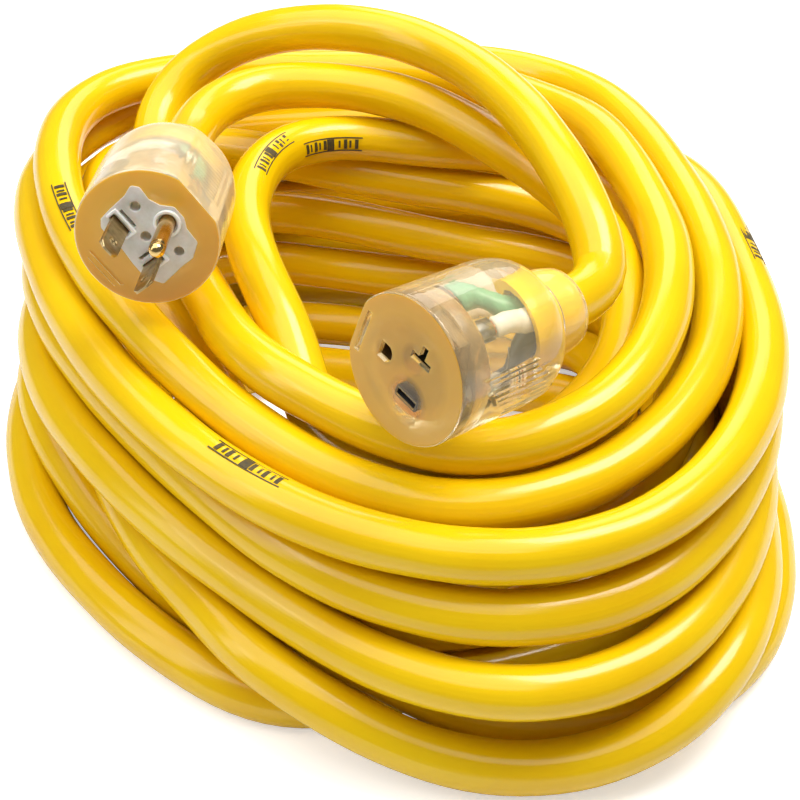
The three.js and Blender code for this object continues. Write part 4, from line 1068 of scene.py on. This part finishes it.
def blade(at, crosswise, twist_hole=0):
    """Folded flat blade: tapered tip, hole near the tip, seam along both edges."""
    side = [(-w2, TAIL_Z - 0.8), (w2, TAIL_Z - 0.8), (w2, BLADE_OUT - 1.7), (w2 - 1.55, BLADE_OUT), (-w2 + 1.55, BLADE_OUT), (-w2, BLADE_OUT - 1.7)]
    shape = rounded(side, [0.1, 0.1, 0.5, 0.4, 0.4, 0.5], 4)
    parts = []
    half = BLADE_T / 2
    for z0, z1 in ((-half, -0.03), (0.03, half)):
        parts.append(plate(shape, [circle(0, 12.2, 1.5, 28)], z0, z1, 0.14, 2))
    V, F = join(parts)
    # width, length, thickness -> across, along the axis, thickness
    if crosswise:
        L = np.stack([V[:, 0] + at[0], -V[:, 2] + at[1], V[:, 1]], -1)
    else:
        L = np.stack([V[:, 2] + at[0], V[:, 0] + at[1], V[:, 1]], -1)
    return L, F


# coined tip: the last millimetres of a blade are chamfered on its broad sides
def coin(vf, crosswise, at):
    V, F = vf
    k = np.clip((V[:, 2] - (BLADE_OUT - 1.9)) / 1.9, 0, 1) * 0.55
    ax = 1 if crosswise else 0
    V[:, ax] = at[ax] + (V[:, ax] - at[ax]) * (1 - k)
    return V, F


put(PLUG, "plug_blade_hot_folded", join([coin(blade(hot, False), False, hot), crimp(*hot, math.radians(-90))]), BRASS, "plug_head", ["plug_blade_hot"], "brass_blade")
put(PLUG, "plug_blade_neutral_folded", join([coin(blade(neutral, True), True, neutral), crimp(*neutral, math.radians(-90))]), BRASS, "plug_head", ["plug_blade_neutral"], "brass_blade")
r = PIN_D / 2
pin_profile = [(0, TAIL_Z - 0.8), (r * 0.9, TAIL_Z - 0.8), (r, TAIL_Z - 0.6)]
pin_profile += [(r, z) for z in np.linspace(TAIL_Z, PIN_OUT - r - 1.3, 30)]
pin_profile += [(r * 0.93, PIN_OUT - r - 1.0), (r * 0.93, PIN_OUT - r - 0.7), (r * 0.985, PIN_OUT - r - 0.4)]
pin_profile += arc(0, PIN_OUT - r, r, 4, 88, 12) + [(0, PIN_OUT)]
pv, pf = lathe(pin_profile, 48, *ground)
# rolled seam along the pin
ang = np.arctan2(pv[:, 1] - ground[1], pv[:, 0] - ground[0])
d = (ang - math.radians(-20) + np.pi) % (2 * np.pi) - np.pi
dent = np.clip(1 - np.abs(d) / 0.2, 0, 1) * np.clip((PIN_OUT - r - 1.2 - pv[:, 2]) / 1.0, 0, 1) * 0.22
rad = np.hypot(pv[:, 0] - ground[0], pv[:, 1] - ground[1])
pv[:, 0] -= np.cos(ang) * dent * (rad > 0.5)
pv[:, 1] -= np.sin(ang) * dent * (rad > 0.5)
put(PLUG, "plug_ground_pin_rolled", join([(pv, pf), crimp(*ground, math.radians(90))]), GOLD, "plug_head", ["plug_ground_pin"], "brass_blade")

for which, at, deg, mat_, slot_ in (("hot", hot, -30, BLACK, "black_insulation"), ("neutral", neutral, 210, WHITE, "white_insulation"), ("ground", ground, 90, GREEN, "green_insulation")):
    put(PLUG, f"plug_wires_{which}", strands(*at), COPPER, "plug_head", [f"plug_strands_{which}"], "copper")
    put(PLUG, f"plug_conductor_{which}", lead(*at, deg), mat_, "plug_head", [f"plug_lead_{which}"], slot_)

# -------------------------------------------------------------- the connector
c_neutral, c_hot = (-NEUTRAL_X, BLADES_Y), (-HOT_X, BLADES_Y)
sw, st = BLADE_W / 2 + 0.45, BLADE_T / 2 + 0.35
R = PIN_D / 2 + 0.5
dee = [(R * math.cos(a), ground[1] + R * math.sin(a)) for a in np.linspace(math.pi + 0.35, 2 * math.pi - 0.35, 17)]
dee += [(R * 0.94, ground[1] + R * 0.72), (-R * 0.94, ground[1] + R * 0.72)]
nx, ny = c_neutral
tee = [
    (nx - 1.2 - st, ny - sw), (nx - 1.2 + st, ny - sw), (nx - 1.2 + st, ny - st), (nx + sw, ny - st), (nx + sw, ny + st),
    (nx - 1.2 + st, ny + st), (nx - 1.2 + st, ny + sw), (nx - 1.2 - st, ny + sw),
]
conn_panels = [(math.radians(-84), -36.0, -13.0, 8.5, 0.75, False)]
HOT_FRONT, NEUTRAL_FRONT, GROUND_FRONT = -0.45, -1.6, -1.8
conn_body = clear_body(
    "connector_clear_body", CONN, conn_panels, None, [CONN_CLEAR, CONN_AMBER],
    [
        plate(rounded(tee, 0.15, 2), [], NEUTRAL_FRONT - 0.1, 1.0),
        plate(rect(*c_hot, st, sw, 0.15, 2), [], HOT_FRONT - 0.1, 1.0),
        plate(rounded(dee, 0.2, 2), [], GROUND_FRONT - 0.1, 1.0),
        plate(rect(0, 17.0, 7.0, 0.9, 0.3, 3), [], -1.2, 1.0),
        # the room inside the contact sleeves
        plate(rect(*c_hot, 1.25, 3.65, 0.2, 2), [], -12.75, HOT_FRONT),
        plate(rect(c_neutral[0] + 0.4, c_neutral[1], 3.85, 3.85, 0.2, 2), [], -12.75, NEUTRAL_FRONT),
        plate(circle(*ground, 3.25, 32), [], -12.75, GROUND_FRONT),
    ],
)
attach(conn_body, "connector_head")
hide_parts("connector_housing")


def walls(outline_pts, t, z0, z1, bevel=0.1):
    """Thin wall standing round an opening: the outline pushed out by t, minus the outline."""
    P = np.array(outline_pts, float)
    nxt, prv = np.roll(P, -1, 0), np.roll(P, 1, 0)
    u, v = P - prv, nxt - P
    u /= np.maximum(np.linalg.norm(u, axis=1), 1e-9)[:, None]
    v /= np.maximum(np.linalg.norm(v, axis=1), 1e-9)[:, None]
    nu, nv = np.stack([u[:, 1], -u[:, 0]], -1), np.stack([v[:, 1], -v[:, 0]], -1)
    k = t / np.maximum(0.35, 1 + (nu * nv).sum(1))
    out = P + (nu + nv) * k[:, None]
    return plate([tuple(q) for q in out], [[tuple(q) for q in P]], z0, z1, bevel, 1)


# carrier: disc behind the face with straight walls round the neutral and ground openings
cr = 15.4
c_holes = [
    rect(*c_hot, 2.2, 4.6, 0.4), rect(c_neutral[0] + 0.4, c_neutral[1], 4.6, 4.6, 0.4), circle(*ground, 4.2, 32), circle(0, -10.5, 2.4),
]
carrier_parts = [plate(circle(0, 0, cr, 72), c_holes, -14.0, -8.2, 0.4)]
carrier_parts.append(walls(rect(c_neutral[0] + 0.4, c_neutral[1], 4.6, 4.6), 0.9, -8.4, -4.6))
carrier_parts.append(walls(circle(*ground, 4.2, 32), 0.9, -8.4, -4.6))
put(CONN, "connector_amber_carrier", join(carrier_parts), CONN_CARRIER, "connector_head", ["connector_contact_carrier"], "pale_carrier")


def sleeve(x, y, hx, hy, slots, mouth=0.5, front=-4.5):
    """Folded contact: open box, a closed back and spring leaves inside."""
    parts = [walls(rect(x, y, hx - mouth, hy - mouth, 0.25, 3), mouth, -12.8, front, 0.1)]
    parts.append(plate(rect(x, y, hx, hy, 0.5, 3), [], -13.8, -12.7, 0.2))
    for sx_, sy_, lx, ly in slots:
        # a leaf bows towards the middle of the sleeve
        P = []
        for k in range(9):
            f = k / 8
            bow = 0.75 * math.sin(math.pi * f)
            P.append((sx_ - np.sign(sx_ - x) * bow * (lx < ly), sy_ - np.sign(sy_ - y) * bow * (ly <= lx), -12.6 + 7.9 * f))
        V = []
        for px, py, pz in P:
            for dx_, dy_ in ((-lx, -ly), (lx, -ly), (lx, ly), (-lx, ly)):
                V.append((px + dx_, py + dy_, pz))
        F = wall(len(P), 4)
        F.append((3, 2, 1, 0))
        n = 4 * (len(P) - 1)
        F.append((n, n + 1, n + 2, n + 3))
        parts.append((np.array(V), F))
    return join(parts)


# the hot sleeve takes the darkened steel, painted shade inside its slot
put(CONN, "connector_contact_hot_sleeve", join([sleeve(*c_hot, 1.9, 4.3, [(c_hot[0] - 1.15, c_hot[1], 0.16, 2.6), (c_hot[0] + 1.15, c_hot[1], 0.16, 2.6)], 0.7, HOT_FRONT - 0.05), crimp(*c_hot, math.radians(-90))]), STEEL_PAINTED_SHADE, "connector_head", ["connector_contact_hot"], "contact_steel")
put(CONN, "connector_contact_neutral_sleeve", join([sleeve(c_neutral[0] + 0.4, c_neutral[1], 4.3, 4.3, [(c_neutral[0] - 2.6, c_neutral[1], 0.16, 2.6), (c_neutral[0] + 0.2, c_neutral[1] + 2.6, 1.4, 0.16)], 0.5, NEUTRAL_FRONT - 0.05), crimp(*c_neutral, math.radians(-90))]), STEEL, "connector_head", ["connector_contact_neutral"], "contact_steel")
gs = [walls(circle(*ground, 3.2, 36), 0.6, -12.8, GROUND_FRONT - 0.05, 0.12), plate(circle(*ground, 3.8, 36), [], -13.8, -12.7, 0.2), crimp(*ground, math.radians(90))]
for k in range(3):
    a = math.radians(90 + 120 * k)
    gs.append(plate(rounded([(ground[0] + 3.0 * math.cos(a + q), ground[1] + 3.0 * math.sin(a + q)) for q in (-0.35, 0, 0.35)] + [(ground[0] + 2.5 * math.cos(a + q), ground[1] + 2.5 * math.sin(a + q)) for q in (0.3, 0, -0.3)], 0.1, 2), [], -12.4, -5.2, 0.05, 1))
put(CONN, "connector_contact_ground_sleeve", join(gs), DARK_BRONZE, "connector_head", ["connector_contact_ground"], "brass_blade")
for which, at, deg, mat_, slot_ in (("hot", c_hot, 210, BLACK, "black_insulation"), ("neutral", c_neutral, 330, WHITE, "white_insulation"), ("ground", ground, 90, GREEN, "green_insulation")):
    put(CONN, f"connector_wires_{which}", strands(*at), COPPER, "connector_head", [f"connector_strands_{which}"], "copper")
    put(CONN, f"connector_conductor_{which}", lead(*at, deg), mat_, "connector_head", [f"connector_lead_{which}"], slot_)

# indicator: glass tube with two electrodes, resistor and wires
lamp_profile = [(0, -20.4), (1.2, -20.4), (1.9, -20.0), (2.1, -19.2)] + [(2.1, z) for z in np.linspace(-18.5, -10.6, 12)] + [(1.95, -9.7), (1.5, -8.9), (0.8, -8.1), (0.25, -7.6), (0, -7.5)]
lamp = put(CONN, "indicator_lamp_glass", lathe(lamp_profile, 32, 0, -10.5), LAMP, "connector_head", ["indicator_lamp"], "lamp_glass")
electrodes = join([pipe([(-0.7, -10.5, -20.0), (-0.72, -10.5, -15.0), (-0.7, -10.5, -11.2)], 0.28, 10), pipe([(0.7, -10.5, -20.0), (0.72, -10.5, -15.0), (0.7, -10.5, -11.2)], 0.28, 10)])
put(CONN, "indicator_lamp_electrodes", electrodes, STEEL, "connector_head", (), "contact_steel")
res_profile = [(0, -31.5), (0.6, -31.5), (1.0, -31.3), (1.22, -30.9), (1.25, -30.5), (1.15, -29.9), (1.0, -29.6), (1.0, -28.3), (1.0, -27.0), (1.15, -26.7), (1.25, -26.1), (1.2, -25.6), (1.0, -25.3), (0.6, -25.1), (0, -25.1)]
put(CONN, "indicator_resistor_body", lathe(res_profile, 28, -2.2, -10.4), RESISTOR, "connector_head", ["indicator_resistor"], "resistor_body")
put(CONN, "indicator_wire_a_drawn", pipe([(-0.8, -10.5, -20.5), (-1.0, -10.5, -22.0), (-2.2, -10.4, -23.4), (-2.2, -10.4, -25.0)], 0.33, 10, 0.3), STEEL, "connector_head", ["indicator_wire_a"], "contact_steel")
put(CONN, "indicator_wire_b_drawn", pipe([(0.8, -10.5, -20.5), (1.6, -10.4, -22.5), (4.2, -8.8, -24.4), (5.2, -7.6, -25.2)], 0.33, 10, 0.3), STEEL, "connector_head", ["indicator_wire_b"], "contact_steel")

# ------------------------------------------------------- floor, lights, camera
low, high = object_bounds()
floor_v = [(-6, -6, 0), (6, -6, 0), (6, 6, 0), (-6, 6, 0)]
fm, fnt = material("floor_paper")
fco = fnt.nodes.new("ShaderNodeTexCoord").outputs["Object"]
fcol = ramp(fnt, noise(fnt, fco, 3.0, 2.0), [(0.3, (0.905, 0.905, 0.905)), (0.7, (0.925, 0.925, 0.925))])
fp = principled(fnt, Base_Color=fcol, Roughness=0.9, Specular_IOR_Level=0.2)
fp.inputs["Emission Color"].default_value = (1, 1, 1, 1)
fnt.links.new(math_node(fnt, "MULTIPLY", fnt.nodes.new("ShaderNodeLightPath").outputs["Is Camera Ray"], 0.50), fp.inputs["Emission Strength"])
output(fnt, fp.outputs[0])
floor = mesh_object("floor", [(x, y, low.z - 0.0002) for x, y, _ in floor_v], [(0, 1, 2, 3)], fm)

world = bpy.data.worlds.new("studio")
scene.world = world
world.use_nodes = True
bg = world.node_tree.nodes["Background"]
bg.inputs[0].default_value = (1.0, 1.0, 1.0, 1)
bg.inputs[1].default_value = 0.15
seen = world.node_tree.nodes.new("ShaderNodeBackground")
seen.inputs[0].default_value = (1.0, 1.0, 1.0, 1)
seen.inputs[1].default_value = 0.92
wlp = world.node_tree.nodes.new("ShaderNodeLightPath")
wmix = world.node_tree.nodes.new("ShaderNodeMixShader")
world.node_tree.links.new(wlp.outputs["Is Camera Ray"], wmix.inputs[0])
world.node_tree.links.new(bg.outputs[0], wmix.inputs[1])
world.node_tree.links.new(seen.outputs[0], wmix.inputs[2])
world.node_tree.links.new(wmix.outputs[0], world.node_tree.nodes["World Output"].inputs[0])


def area(name, loc, target, size, power, colour=(1, 1, 1), size_y=None):
    ld = bpy.data.lights.new(name, "AREA")
    ld.energy = power
    ld.color = colour
    ld.size = size
    if size_y:
        ld.shape = "RECTANGLE"
        ld.size_y = size_y
    ob = bpy.data.objects.new(name, ld)
    scene.collection.objects.link(ob)
    ob.location = loc
    ob.rotation_mode = "QUATERNION"
    ob.rotation_quaternion = (Vector(loc) - Vector(target)).to_track_quat("Z", "Y")
    return ob


area("key_box", (0.42, 0.12, 1.05), (0, 0, 0.05), 0.55, 9.5)
area("overhead", (-0.25, 0.05, 1.25), (0, 0, 0.05), 1.5, 15.0)
area("left_strip", (-1.05, -0.30, 0.70), (0, 0, 0.06), 0.35, 2.6, size_y=0.9)
area("back_rim", (0.15, 1.0, 0.70), (0, 0, 0.08), 0.6, 2.8)

cam_data = bpy.data.cameras.new("camera")
cam = bpy.data.objects.new("camera", cam_data)
scene.collection.objects.link(cam)
cam_data.sensor_width = 36.0
cam_data.lens = 73.8
cam_data.clip_start, cam_data.clip_end = 0.01, 50
elev = math.radians(40)
target = Vector((0.005228, -0.035184, 0.054696))
cam.location = target + Vector((0, -math.cos(elev), math.sin(elev))) * 0.520
cam.rotation_mode = "QUATERNION"
cam.rotation_quaternion = (cam.location - target).to_track_quat("Z", "Y")
scene.camera = cam
scene.view_settings.view_transform = "Standard"
scene.view_settings.look = "None"
scene.view_settings.exposure = 0.0

bpy.context.view_layer.update()
